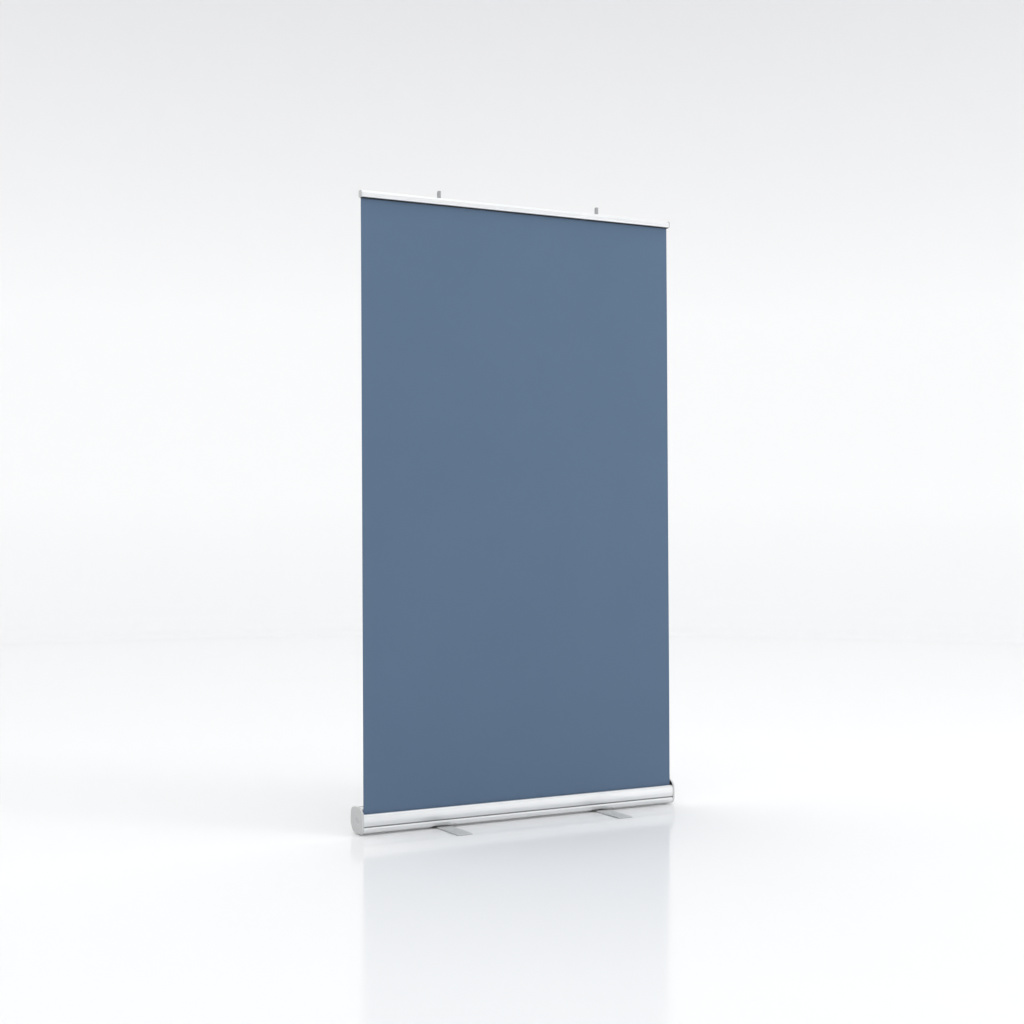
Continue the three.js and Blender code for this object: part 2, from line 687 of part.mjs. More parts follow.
const SOCKET_TOP_Z = CASSETTE_TOP_Z + SOCKET_RISE;
const SOCKET_FLOOR = 1.2;
const SOCKET_FLOOR_Z = ROLLER_Z + FULL_ROLL_R + ROLL_CLEARANCE + SOCKET_FLOOR;
const LOWER_TUBE_LOW_Z = SOCKET_FLOOR_Z + TOUCH_GAP;
const MIDDLE_TUBE_LOW_Z = LOWER_TUBE_TOP_Z - TUBE_OVERLAP;
const UPPER_TUBE_LOW_Z = MIDDLE_TUBE_TOP_Z - TUBE_OVERLAP;
const UPPER_TUBE_TOP_Z = RAIL_Z - 14;

function poleSocket() {
  const inner = LOWER_TUBE_R + TOUCH_GAP;
  const outer = inner + SOCKET_WALL;
  const flange = outer + 3;
  return turned([
    [0, SOCKET_FLOOR_Z - SOCKET_FLOOR],
    [outer, SOCKET_FLOOR_Z - SOCKET_FLOOR],
    [outer, CASSETTE_TOP_Z + TOUCH_GAP],
    [flange, CASSETTE_TOP_Z + TOUCH_GAP],
    [flange, CASSETTE_TOP_Z + TOUCH_GAP + 1.5],
    [outer + 0.6, CASSETTE_TOP_Z + TOUCH_GAP + 3],
    [outer, SOCKET_TOP_Z],
    [inner, SOCKET_TOP_Z],
    [inner, SOCKET_FLOOR_Z],
    [0, SOCKET_FLOOR_Z],
  ]);
}

const tube = (r, low, high) => turned(ring(r - TUBE_WALL, r, low, high));

// The twist collar that locks the tube above it to the tube below: a sleeve with a stepped bore.
function twistCollar(belowR, aboveR, tubeTopZ) {
  const outerR = belowR + RUNNING_GAP + COLLAR_WALL;
  const low = tubeTopZ - COLLAR_GRIP;
  const high = low + COLLAR_LENGTH;
  const step = tubeTopZ + COLLET_LENGTH + 2 * RUNNING_GAP;
  return turned([
    [belowR + RUNNING_GAP, low],
    [outerR - 1, low],
    [outerR, low + 2],
    [outerR, high - 5],
    [outerR - 3, high],
    [aboveR + RUNNING_GAP, high],
    [aboveR + RUNNING_GAP, step],
    [belowR + RUNNING_GAP, step],
    [belowR + RUNNING_GAP, low],
  ]);
}

// The split ring inside the collar that grips the tube.
function collet(belowR, aboveR, tubeTopZ) {
  const low = tubeTopZ + TOUCH_GAP;
  const high = tubeTopZ + COLLET_LENGTH;
  const body = solid(turned(ring(aboveR + RUNNING_GAP, belowR, low, high)));
  const split = solid(block([-0.6, 0, low - 1], [0.6, belowR + 1, high + 1]));
  return geometryOf(cut(body, split));
}

// The head plugs the upper tube. Its hook goes under the rail's rear wall and its tip stands above it.
function poleHead() {
  const half = HEAD_WIDTH / 2;
  const bladeFront = RAIL_BACK_Y + TOUCH_GAP - POLE_Y;
  const bladeBack = bladeFront + HEAD_DEPTH;
  const hookFront = BACKING_Y + RAIL_WALL + TOUCH_GAP - POLE_Y;
  const hookBack = RAIL_BACK_Y - RAIL_WALL - TOUCH_GAP - POLE_Y;
  const tipZ = HINGE_Z + HEAD_RISE;
  const side = [
    [bladeBack, UPPER_TUBE_TOP_Z + 3],
    [bladeBack, tipZ - 3.5],
    [bladeBack - 2.5, tipZ - 1.2],
    [bladeFront, tipZ],
    [bladeFront, RAIL_Z - TOUCH_GAP],
    [hookBack, RAIL_Z - TOUCH_GAP],
    [hookBack, RAIL_Z + 12],
    [hookFront, RAIL_Z + 12],
    [hookFront, RAIL_Z - 5],
    [bladeFront - 1, RAIL_Z - 10],
  ];
  const collarR = UPPER_TUBE_R + 0.8;
  const plugR = UPPER_TUBE_R - TUBE_WALL - TOUCH_GAP;
  return geometryOf(
    joined(
      solid(alongX(side, -half, half)),
      solid(zRod(collarR, UPPER_TUBE_TOP_Z + 0.1, UPPER_TUBE_TOP_Z + 5)),
      solid(zRod(plugR, UPPER_TUBE_TOP_Z - 20, UPPER_TUBE_TOP_Z + 1)),
    ),
  );
}

for (const [name, side] of [["left", -1], ["right", 1]]) {
  const place = [side * POLE_X, POLE_Y, 0];
  add(`pole_socket_${name}`, poleSocket(), BLACK_NYLON, place);
  const tubes = [
    ["lower", LOWER_TUBE_R, LOWER_TUBE_LOW_Z, LOWER_TUBE_TOP_Z],
    ["middle", MIDDLE_TUBE_R, MIDDLE_TUBE_LOW_Z, MIDDLE_TUBE_TOP_Z],
    ["upper", UPPER_TUBE_R, UPPER_TUBE_LOW_Z, UPPER_TUBE_TOP_Z],
  ];
  for (const [level, r, low, high] of tubes) {
    add(`${level}_tube_${name}`, tube(r, low, high), ANODISED, place);
  }
  const collars = [
    ["lower", LOWER_TUBE_R, MIDDLE_TUBE_R, LOWER_TUBE_TOP_Z],
    ["upper", MIDDLE_TUBE_R, UPPER_TUBE_R, MIDDLE_TUBE_TOP_Z],
  ];
  for (const [level, belowR, aboveR, topZ] of collars) {
    add(`${level}_collar_${name}`, twistCollar(belowR, aboveR, topZ), BLACK_NYLON, place);
    add(`${level}_collet_${name}`, collet(belowR, aboveR, topZ), GREY_NYLON, place);
  }
  add(`pole_head_${name}`, poleHead(), GREY_NYLON, place);
}

// ---------------------------------------------------------------- swinging feet

// A flat bar with a sloping end front and back, and a counterbore for its pivot bolt.
function footBar() {
  const end = FOOT_LENGTH / 2;
  const low = PAD_THICKNESS;
  const high = FOOT_TOP_Z;
  const outline = [
    [-end, low],
    [end, low],
    [end, low + 1.2],
    [end - FOOT_RAMP, high],
    [-end + FOOT_RAMP, high],
    [-end, low + 1.2],
  ];
  const bar = solid(alongX(outline, -FOOT_WIDTH / 2, FOOT_WIDTH / 2));
  const bore = solid(zRod(BOLT_SHANK_R + TOUCH_GAP, low - 1, high + 1));
  const headRoom = solid(
    zRod(BOLT_HEAD_R + TOUCH_GAP, low - 1, low + BOLT_HEAD_HEIGHT + 2 * FOOT_PLAY),
  );
  return geometryOf(cut(bar, bore, headRoom));
}

function pivotBolt() {
  const low = PAD_THICKNESS + FOOT_PLAY;
  const head = low + BOLT_HEAD_HEIGHT;
  const threadR = BOLT_SHANK_R - 1;
  return turned([
    [0, low],
    [BOLT_HEAD_R, low],
    [BOLT_HEAD_R, head],
    [BOLT_SHANK_R, head],
    [BOLT_SHANK_R, CASSETTE_BASE_Z + CASSETTE_WALL],
    [threadR, CASSETTE_BASE_Z + CASSETTE_WALL],
    [threadR, CASSETTE_BASE_Z + CASSETTE_WALL + BLOCK_HEIGHT],
    [0, CASSETTE_BASE_Z + CASSETTE_WALL + BLOCK_HEIGHT],
  ]);
}

// The block inside the cassette that the pivot bolt screws into.
function pivotBlock() {
  const low = CASSETTE_BASE_Z + CASSETTE_WALL + TOUCH_GAP;
  const body = solid(
    block(
      [-BLOCK_LENGTH / 2, -BLOCK_DEPTH / 2, low],
      [BLOCK_LENGTH / 2, BLOCK_DEPTH / 2, low + BLOCK_HEIGHT],
    ),
  );
  return geometryOf(cut(body, solid(zRod(BOLT_SHANK_R - 1 + 0.15, low - 1, low + BLOCK_HEIGHT + 1))));
}

for (const [name, side] of [["left", -1], ["right", 1]]) {
  const place = [side * POLE_X, 0, 0];
  const washerLow = FOOT_TOP_Z + FOOT_PLAY;
  add(`foot_bar_${name}`, footBar(), STEEL, place);
  add(`pivot_bolt_${name}`, pivotBolt(), STEEL, place);
  add(`pivot_block_${name}`, pivotBlock(), STEEL, place);
  add(
    `pivot_washer_${name}`,
    turned(ring(BOLT_SHANK_R + TOUCH_GAP, WASHER_R, washerLow, washerLow + WASHER_THICKNESS)),
    BLACK_NYLON,
    place,
  );
  for (const [end, way] of [["front", -1], ["back", 1]]) {
    const middle = way * (FOOT_LENGTH / 2 - FOOT_RAMP - PAD_LENGTH / 2);
    add(
      `foot_pad_${name}_${end}`,
      block(
        [-FOOT_WIDTH / 2 + 6, middle - PAD_LENGTH / 2, 0],
        [FOOT_WIDTH / 2 - 6, middle + PAD_LENGTH / 2, PAD_THICKNESS],
      ),
      RUBBER,
      place,
    );
  }
}

export default stand;
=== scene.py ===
import math

import bmesh
import bpy
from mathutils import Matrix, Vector


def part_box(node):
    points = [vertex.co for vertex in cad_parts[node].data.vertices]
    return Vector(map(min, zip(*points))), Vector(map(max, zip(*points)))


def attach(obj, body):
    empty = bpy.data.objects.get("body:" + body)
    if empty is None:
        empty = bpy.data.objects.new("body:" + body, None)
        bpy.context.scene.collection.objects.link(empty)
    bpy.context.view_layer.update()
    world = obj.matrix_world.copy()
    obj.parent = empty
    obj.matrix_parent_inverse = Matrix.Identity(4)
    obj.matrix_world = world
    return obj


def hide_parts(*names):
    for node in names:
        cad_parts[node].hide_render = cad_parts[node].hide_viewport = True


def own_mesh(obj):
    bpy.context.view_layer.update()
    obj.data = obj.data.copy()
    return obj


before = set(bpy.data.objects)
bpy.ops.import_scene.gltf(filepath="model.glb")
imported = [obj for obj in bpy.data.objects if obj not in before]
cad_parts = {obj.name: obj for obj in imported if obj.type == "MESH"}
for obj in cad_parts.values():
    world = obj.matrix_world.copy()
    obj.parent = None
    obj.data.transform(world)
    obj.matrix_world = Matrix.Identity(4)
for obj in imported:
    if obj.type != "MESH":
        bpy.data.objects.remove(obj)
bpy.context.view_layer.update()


# ---------------------------------------------------------------- cassette
# The long housing is one aluminium extrusion, sawn to length and anodised in natural silver.
# Its front ends in a rolled lip, a groove runs along the front, and the film leaves between the
# lip and a rim that curls down behind it. Two notches in the lower edge leave room for the feet.

mm = 0.001
SIDES = {"left": -1, "right": 1}


def from_box(cad_name):
    """The low and the high corner of a CAD node's box, in millimetres."""
    low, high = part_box(cad_name)
    return low / mm, high / mm


def middle_of(cad_name):
    """The middle of a CAD node's box, to a hundredth of a millimetre."""
    low, high = from_box(cad_name)
    return [round(value, 2) for value in (low + high) / 2]


def eased(points, steps):
    """A smooth line through the points, with that many steps from end to end."""
    line = []
    last = len(points) - 1
    for i in range(steps + 1):
        along = last * i / steps
        k = min(int(along), last - 1)
        t = along - k
        a, b, c, d = (Vector(points[j]) for j in (max(k - 1, 0), k, k + 1, min(k + 2, last)))
        bend = 2 * b + (c - a) * t + (2 * a - 5 * b + 4 * c - d) * t**2
        line.append(tuple((bend + (3 * b - a - 3 * c + d) * t**3) / 2))
    return line


def beside(line, distance, closed=False):
    """The line moved sideways to its left, with its corners kept sharp."""
    moved = []
    count = len(line)
    for i, point in enumerate(line):
        before = Vector(line[i - 1] if i or closed else line[0])
        after = Vector(line[(i + 1) % count] if i < count - 1 or closed else line[-1])
        here = Vector(point)
        into = (here - before) if (here - before).length else (after - here)
        out = (after - here) if (after - here).length else into
        n1 = Vector((-into.y, into.x)).normalized()
        n2 = Vector((-out.y, out.x)).normalized()
        across = (n1 + n2).normalized()
        moved.append(tuple(here + across * (distance / max(across.dot(n1), 0.35))))
    return moved


def rounded(corners, radius, steps=4):
    """A closed outline with each corner turned into an arc; a corner may carry its own radius."""
    line = []
    count = len(corners)
    for i, corner in enumerate(corners):
        here = Vector(corner[:2])
        r = corner[2] if len(corner) > 2 else radius
        back = Vector(corners[i - 1][:2]) - here
        on = Vector(corners[(i + 1) % count][:2]) - here
        half = back.angle(on) / 2
        if r <= 0 or half > math.radians(87):
            line.append(tuple(here))
            continue
        reach = min(r / math.tan(half), back.length * 0.48, on.length * 0.48)
        start = here + back.normalized() * reach
        end = here + on.normalized() * reach
        for k in range(steps + 1):
            t = k / steps
            line.append(tuple(start * (1 - t) ** 2 + here * 2 * t * (1 - t) + end * t**2))
    return line


def area(outline):
    """The outline's area, negative when it runs clockwise."""
    ends = zip(outline, outline[1:] + outline[:1])
    return sum(a[0] * b[1] - b[0] * a[1] for a, b in ends) / 2


def circle(radius, count=48):
    turns = (2 * math.pi * i / count for i in range(count))
    return [(radius * math.cos(a), radius * math.sin(a)) for a in turns]


def at_x(outline, x):
    """An outline of (y, z) millimetres, placed at x millimetres along the stand."""
    return [(x * mm, y * mm, z * mm) for y, z in outline]


def skin(rings, ends):
    """A mesh stretched over rings of the same count: ends are 'filled', or 'joined' in a loop."""
    mesh = bmesh.new()
    rows = [[mesh.verts.new(p) for p in ring] for ring in rings]
    pairs = list(zip(rows, rows[1:]))
    if ends == "joined":
        pairs.append((rows[-1], rows[0]))
    for first, second in pairs:
        for i in range(len(first)):
            j = (i + 1) % len(first)
            mesh.faces.new((first[i], first[j], second[j], second[i]))
    if ends == "filled":
        lids = [mesh.faces.new(rows[0]), mesh.faces.new(reversed(rows[-1]))]
        bmesh.ops.triangulate(mesh, faces=lids, ngon_method="EAR_CLIP")
    bmesh.ops.recalc_face_normals(mesh, faces=mesh.faces)
    return mesh


def bar(outline, x0, x1, ease=0.25):
    """A straight bar along the stand with this outline, its sawn ends lightly broken."""
    small = beside(outline, -ease, closed=True)
    if abs(area(small)) > abs(area(outline)):
        small = beside(outline, ease, closed=True)
    cuts = ((small, x0), (outline, x0 + ease), (outline, x1 - ease), (small, x1))
    return skin([at_x(line, x) for line, x in cuts], "filled")


def round_bar(radius, x0, x1, y, z, count=24):
    outline = [(y + a, z + b) for a, b in circle(radius, count)]
    return bar(outline, x0, x1, ease=min(0.2, radius / 4))


def upright(radius, x, y, z0, z1, count=32):
    """A plain vertical round tool."""
    line = circle(radius, count)
    rings = [[((x + a) * mm, (y + b) * mm, z * mm) for a, b in line] for z in (z0, z1)]
    return skin(rings, "filled")


def brick(low, high):
    """A plain block between two corners."""
    (x0, y0, z0), (x1, y1, z1) = low, high
    outline = [(y0, z0), (y1, z0), (y1, z1), (y0, z1)]
    return skin([at_x(outline, x0), at_x(outline, x1)], "filled")


def as_object(name, mesh):
    data = bpy.data.meshes.new(name)
    mesh.to_mesh(data)
    mesh.free()
    made = bpy.data.objects.new(name, data)
    bpy.context.scene.collection.objects.link(made)
    return made


def settle(piece):
    """Turns the piece's modifiers into its own mesh."""
    seen = piece.evaluated_get(bpy.context.evaluated_depsgraph_get())
    result = bpy.data.meshes.new_from_object(seen)
    piece.modifiers.clear()
    old = piece.data
    piece.data = result
    bpy.data.meshes.remove(old)


def carve(piece, tool_meshes, how="DIFFERENCE"):
    """Joins the tools to the piece or cuts them out of it."""
    for tool_mesh in tool_meshes:
        tool = as_object("tool", tool_mesh)
        change = piece.modifiers.new("carve", "BOOLEAN")
        change.operation = how
        change.solver = "MANIFOLD"
        change.object = tool
        settle(piece)
        bpy.data.objects.remove(tool)


def finish_piece(piece, body, nodes, materials, crease=32):
    """Smooths the piece, gives it its materials and fixes it to its body for the CAD nodes."""
    kinds = [face.material_index for face in piece.data.polygons]
    piece.data.materials.clear()
    for material in materials:
        piece.data.materials.append(material)
    for face, kind in zip(piece.data.polygons, kinds):
        face.material_index = min(kind, len(materials) - 1)
        face.use_smooth = True
    piece.data.set_sharp_from_angle(angle=math.radians(crease))
    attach(piece, body)
    if nodes:
        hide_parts(*nodes)


def feed(tree, made, inputs):
    """Sets a node's inputs, each to a value or to another node's output."""
    for key, value in inputs.items():
        if isinstance(value, bpy.types.NodeSocket):
            tree.links.new(value, made.inputs[key])
        else:
            made.inputs[key].default_value = value


def node(tree, kind, inputs=None, **settings):
    """A shader node with its settings and its inputs."""
    made = tree.nodes.new(kind)
    for key, value in settings.items():
        setattr(made, key, value)
    feed(tree, made, inputs or {})
    return made


def noise(tree, place, scale, detail=2.0, roughness=0.5):
    inputs = {"Vector": place, "Scale": scale, "Detail": detail, "Roughness": roughness}
    return node(tree, "ShaderNodeTexNoise", inputs).outputs[0]


def relief(tree, height, strength, distance):
    """The normal of a surface with that relief, its distance in metres."""
    inputs = {"Height": height, "Strength": strength, "Distance": distance}
    return node(tree, "ShaderNodeBump", inputs).outputs[0]


def share(tree, value, low, high):
    """A mask that runs from 0 to 1 while the value runs from low to high."""
    inputs = {"Value": value, "From Min": low, "From Max": high}
    return node(tree, "ShaderNodeMapRange", inputs).outputs[0]


def between(tree, mask, low, high):
    """A number that runs from low to high with the mask."""
    inputs = {"Value": mask, "To Min": low, "To Max": high}
    return node(tree, "ShaderNodeMapRange", inputs).outputs[0]


def blended(tree, mask, first, second):
    """A colour that runs from the first to the second with the mask."""
    ends = [c if isinstance(c, bpy.types.NodeSocket) else (*c, 1) for c in (first, second)]
    inputs = {0: mask, 6: ends[0], 7: ends[1]}
    return node(tree, "ShaderNodeMix", inputs, data_type="RGBA").outputs[2]


def effect(name, inputs, outputs):
    """An empty node group with a Place and other named inputs and outputs, ready to be filled."""
    group = bpy.data.node_groups.new(name, "ShaderNodeTree")
    place = group.interface.new_socket("Place", in_out="INPUT", socket_type="NodeSocketVector")
    place.description = "Where on the object, in metres"
    for label, kind, value in inputs:
        made = group.interface.new_socket(label, in_out="INPUT", socket_type=kind)
        made.default_value = value
    for label, kind in outputs:
        group.interface.new_socket(label, in_out="OUTPUT", socket_type=kind)
    return group, group.nodes.new("NodeGroupInput").outputs, group.nodes.new("NodeGroupOutput")


def use(tree, group, inputs):
    return node(tree, "ShaderNodeGroup", inputs, node_tree=group).outputs


def build_surface_lines():
    """Fine lines left along a piece by the die or the brush, stretched by the Stretch vector."""
    group, start, end = effect(
        "surface_lines",
        [("Stretch", "NodeSocketVector", (1, 1, 1)), ("Depth", "NodeSocketFloat", 0.1)],
        [("Lines", "NodeSocketFloat"), ("Normal", "NodeSocketVector")],
    )
    places = {0: start["Place"], 1: start["Stretch"]}
    spread = node(group, "ShaderNodeVectorMath", places, operation="MULTIPLY").outputs[0]
    lines = noise(group, spread, 1.0, 4.0, 0.65)
    normal = relief(group, lines, start["Depth"], 0.0004)
    feed(group, end, {"Lines": lines, "Normal": normal})
    return group


def build_handling():
    """Soft patches left by hands and cloths, as a mask between 0 and 1."""
    group, start, end = effect(
        "handling", [("Size", "NodeSocketFloat", 6.0)], [("Mask", "NodeSocketFloat")]
    )
    patches = noise(group, start["Place"], start["Size"], 5.0, 0.6)
    feed(group, end, {"Mask": share(group, patches, 0.32, 0.7)})
    return group


SURFACE_LINES = build_surface_lines()
HANDLING = build_handling()


def new_material(name):
    made = bpy.data.materials.new(name)
    made.use_nodes = True
    tree = made.node_tree
    place = tree.nodes.new("ShaderNodeTexCoord").outputs["Object"]
    return made, tree, tree.nodes["Principled BSDF"], place


def anodised_aluminium(name, stretch, tone=1.0, roughness=0.3):
    """Natural silver anodising: satin, with faint lines along the way it was pushed or drawn."""
    made, tree, shader, place = new_material(name)
    lines = use(tree, SURFACE_LINES, {"Place": place, "Stretch": stretch, "Depth": 0.12})
    hands = use(tree, HANDLING, {"Place": place, "Size": 5.0})
    deep = (0.71 * tone, 0.72 * tone, 0.73 * tone)
    pale = (0.86 * tone, 0.865 * tone, 0.87 * tone)
    finish = {
        "Base Color": blended(tree, lines["Lines"], deep, pale),
        "Roughness": between(tree, hands["Mask"], roughness, roughness + 0.07),
        "Normal": lines["Normal"],
        "Metallic": 1.0,
    }
    feed(tree, shader, finish)
    return made


ALONG_THE_STAND = (1.2, 900.0, 900.0)
CASSETTE_ALUMINIUM = anodised_aluminium("cassette_aluminium", ALONG_THE_STAND)
# The same anodising, darker and duller, is painted shade for the front groove and the top channel.
PAINTED_SHADE_ALUMINIUM = anodised_aluminium("painted_shade_aluminium", ALONG_THE_STAND, 0.42, 0.55)

body_low, body_high = from_box("cassette_body")
half_cassette = body_high.x
front_y, back_y = body_low.y, body_high.y
base_z, top_z = body_low.z, body_high.z
film_low, film_high = from_box("banner_film")
film_thickness = 0.3
slot_y = film_low.y + film_thickness / 2
pole_x, pole_y, _ = middle_of("lower_tube_right")
wall = 1.8
lip_gap = 3.4
lip_z = 70.0
rim_y = slot_y + 4.7
rim_low_z = 80.0
groove_z = 28.7
groove_bottom_y = front_y + 2.8
channel_half = 3.5
channel_bottom_z = top_z - 2.4
boss_radius, boss_hole = 3.6, 1.9
socket_hole, bolt_hole = 11.7, 4.3
notch_half, notch_z = 44, base_z + 5

lip_and_front = eased(
    [
        (slot_y - lip_gap, lip_z), (front_y + 6.6, lip_z - 1), (front_y + 3.1, lip_z - 4.6),
        (front_y + 1.1, lip_z - 11), (front_y, lip_z - 24), (front_y + 0.2, groove_z + 9),
        (front_y + 0.9, groove_z + 2.3),
    ],
    40,
)
groove = [(groove_bottom_y, groove_z + 1.7), (groove_bottom_y, groove_z - 1.7)]
lower_front = eased(
    [
        (front_y + 1.5, groove_z - 2.3), (front_y + 0.3, groove_z - 5.2),
        (front_y + 0.4, base_z + 14), (front_y + 2.4, base_z + 8.5),
        (front_y + 6.5, base_z + 3.2), (front_y + 14, base_z),
    ],
    30,
)
rounded_back = eased(
    [
        (back_y - 30.5, base_z), (back_y - 17.5, base_z + 4.5), (back_y - 8, base_z + 15.5),
        (back_y - 0.9, base_z + 28), (back_y, 47), (back_y - 0.9, top_z - 25),
        (back_y - 4.2, top_z - 12), (back_y - 12, top_z - 4), (back_y - 26.5, top_z),
    ],
    54,
)
top_channel = [
    (pole_y + channel_half, top_z), (pole_y + channel_half, channel_bottom_z),
    (pole_y - channel_half, channel_bottom_z), (pole_y - channel_half, top_z),
]
curled_rim = eased(
    [
        (rim_y + 8.5, top_z), (rim_y + 4, top_z - 0.9),
        (rim_y + 0.9, top_z - 3.4), (rim_y, rim_low_z),
    ],
    14,
)
outside = lip_and_front + groove + lower_front + rounded_back + top_channel + curled_rim
cassette_wall = outside + beside(outside, wall)[::-1]
screw_places = [
    (front_y + 6.2, lip_z - 10),
    (back_y - 8.6, top_z - 13.4),
    (back_y - 23.5, base_z + 7),
]

cassette = as_object(
    "cassette_extrusion", bar(cassette_wall, -half_cassette, half_cassette, ease=0.15)
)
boss_end = half_cassette - 0.05
bosses = [round_bar(boss_radius, -boss_end, boss_end, y, z) for y, z in screw_places]
carve(cassette, bosses, "UNION")
past_end = half_cassette + 2
cassette_cuts = [round_bar(boss_hole, -past_end, past_end, y, z, 16) for y, z in screw_places]
for side in SIDES.values():
    x = side * pole_x
    for y0, y1 in ((front_y - 5, -20), (15, back_y + 5)):
        cassette_cuts.append(brick((x - notch_half, y0, 0), (x + notch_half, y1, notch_z)))
    cassette_cuts.append(upright(socket_hole, x, pole_y, top_z - 5.2, top_z + 1))
    cassette_cuts.append(upright(bolt_hole, x, 0, 0, notch_z))
carve(cassette, cassette_cuts)
finish_piece(
    cassette,
    "cassette",
    ["cassette_body"],
    [CASSETTE_ALUMINIUM, PAINTED_SHADE_ALUMINIUM],
    crease=28,
)
# Faces in the front groove and in the top channel take the darker finish: painted shade in these
# recesses.
for face in cassette.data.polygons:
    y, z = face.center.y / mm, face.center.z / mm
    in_groove = abs(z - groove_z) < 2.4 and front_y + 1.2 < y < groove_bottom_y + 0.1
    in_channel = abs(y - pole_y) < channel_half + 0.1 and top_z - 2.5 < z < top_z - 0.1
    face.material_index = int(in_groove or in_channel)


# ---------------------------------------------------------------- felt on the rim
# A self-adhesive strip of black pile, stuck to the inside of the curled rim, wipes the film.
# Its pile is cut in short tufts that lean towards the film.


def black_felt():
    """Short black pile: nearly no gloss, with a woolly surface."""
    made, tree, shader, place = new_material("black_felt")
    wool = noise(tree, place, 2600.0, 3.0)
    finish = {
        "Base Color": blended(tree, wool, (0.008, 0.008, 0.009), (0.03, 0.03, 0.032)),
        "Normal": relief(tree, wool, 0.8, 0.0006),
        "Roughness": 0.95,
        "Sheen Weight": 0.3,
        "Sheen Roughness": 0.5,
    }
    feed(tree, shader, finish)
    return made


BLACK_FELT = black_felt()
felt_low, felt_high = from_box("slot_felt")
felt_line = rounded(
    [
        (felt_high.y, felt_low.z + 0.3), (felt_high.y, felt_high.z),
        (felt_high.y - 1.2, felt_high.z), (felt_low.y + 0.4, felt_high.z - 2.2),
        (felt_low.y, felt_low.z + 1.6), (felt_low.y + 0.8, felt_low.z),
    ],
    0.5,
)
felt = as_object("rim_felt", bar(felt_line, felt_low.x, felt_high.x))
finish_piece(felt, "cassette", ["slot_felt"], [BLACK_FELT])


# ---------------------------------------------------------------- bearing plates
# A moulded black nylon plate closes each end of the extrusion and holds the roller's axle.
# Three self-tapping screws go through it into the extrusion's bosses.


def build_moulded_grain():
    """The fine spark-eroded grain of a moulded surface."""
    group, start, end = effect(
        "moulded_grain",
        [("Fineness", "NodeSocketFloat", 1500.0), ("Depth", "NodeSocketFloat", 0.15)],
        [("Grain", "NodeSocketFloat"), ("Normal", "NodeSocketVector")],
    )
    pits = noise(group, start["Place"], start["Fineness"])
    feed(group, end, {"Grain": pits, "Normal": relief(group, pits, start["Depth"], 0.0003)})
    return group


def build_rubbed_edges():
    """A mask that is bright on the outer edges, where hands and sleeves rub."""
    group, start, end = effect(
        "rubbed_edges", [("Width", "NodeSocketFloat", 0.0005)], [("Mask", "NodeSocketFloat")]
    )
    true_normal = node(group, "ShaderNodeNewGeometry").outputs["Normal"]
    bevel = node(group, "ShaderNodeBevel", {"Radius": start["Width"]}, samples=4)
    normals = {0: true_normal, 1: bevel.outputs[0]}
    agreement = node(group, "ShaderNodeVectorMath", normals, operation="DOT_PRODUCT")
    edge = share(group, agreement.outputs["Value"], 0.99, 0.8)
    broken = noise(group, start["Place"], 90.0)
    mask = node(group, "ShaderNodeMath", {0: edge, 1: broken}, operation="MULTIPLY")
    feed(group, end, {"Mask": mask.outputs[0]})
    return group


MOULDED_GRAIN = build_moulded_grain()
RUBBED_EDGES = build_rubbed_edges()


def moulded_plastic(name, colour, rubbed, roughness, fineness=1500.0, depth=0.15):
    """Injection-moulded plastic: even colour, fine grain, paler where it is rubbed, its roughness
    varying in patches.
    """
    made, tree, shader, place = new_material(name)
    grain = use(tree, MOULDED_GRAIN, {"Place": place, "Fineness": fineness, "Depth": depth})
    hands = use(tree, HANDLING, {"Place": place, "Size": 14.0})
    edges = use(tree, RUBBED_EDGES, {"Place": place})
    tone = blended(tree, hands["Mask"], tuple(c * 0.93 for c in colour), colour)
    finish = {
        "Base Color": blended(tree, edges["Mask"], tone, rubbed),
        "Roughness": between(tree, hands["Mask"], roughness - 0.04, roughness + 0.05),
        "Normal": grain["Normal"],
    }
    feed(tree, shader, finish)
    return made


def plated_steel(name, stretch=(60.0, 60.0, 60.0), tone=1.0, roughness=0.28):
    """Bright zinc plate over turned or drawn steel."""
    made, tree, shader, place = new_material(name)
    lines = use(tree, SURFACE_LINES, {"Place": place, "Stretch": stretch, "Depth": 0.2})
    hands = use(tree, HANDLING, {"Place": place, "Size": 40.0})
    deep = (0.5 * tone, 0.51 * tone, 0.52 * tone)
    pale = (0.66 * tone, 0.665 * tone, 0.66 * tone)
    finish = {
        "Base Color": blended(tree, hands["Mask"], deep, pale),
        "Roughness": between(tree, lines["Lines"], roughness, roughness + 0.14),
        "Normal": lines["Normal"],
        "Metallic": 1.0,
    }
    feed(tree, shader, finish)
    return made


BLACK_NYLON = moulded_plastic("black_nylon", (0.018, 0.018, 0.02), (0.06, 0.06, 0.062), 0.46)
TURNED_STEEL = plated_steel("turned_steel", stretch=(700.0, 120.0, 120.0))

_, roller_y, roller_z = middle_of("roller_tube")
axle_hole = 4.3


def evened(outline, count):
    """The closed outline again, with that many points spaced evenly around it."""
    loop = [Vector(p) for p in outline] + [Vector(outline[0])]
    lengths = [0.0]
    for a, b in zip(loop, loop[1:]):
        lengths.append(lengths[-1] + (b - a).length)
    line = []
    k = 0
    for i in range(count):
        reach = lengths[-1] * i / count
        while lengths[k + 1] < reach:
            k += 1
        span = lengths[k + 1] - lengths[k]
        line.append(tuple(loop[k].lerp(loop[k + 1], (reach - lengths[k]) / span)))
    return line


end_front = eased(
    [
        (rim_y + 8.5, top_z), (rim_y + 1.5, top_z - 1.4), (front_y + 13.5, top_z - 5.5),
        (front_y + 7.5, top_z - 10.5), (front_y + 3.5, lip_z + 1), (front_y + 1, lip_z - 9),
        (front_y, lip_z - 24), (front_y + 0.3, groove_z - 2.5), (front_y + 2.6, base_z + 10.5),
        (front_y + 7, base_z + 4), (front_y + 14, base_z),
    ],
    72,
)
end_line = evened(end_front + rounded_back, 144)


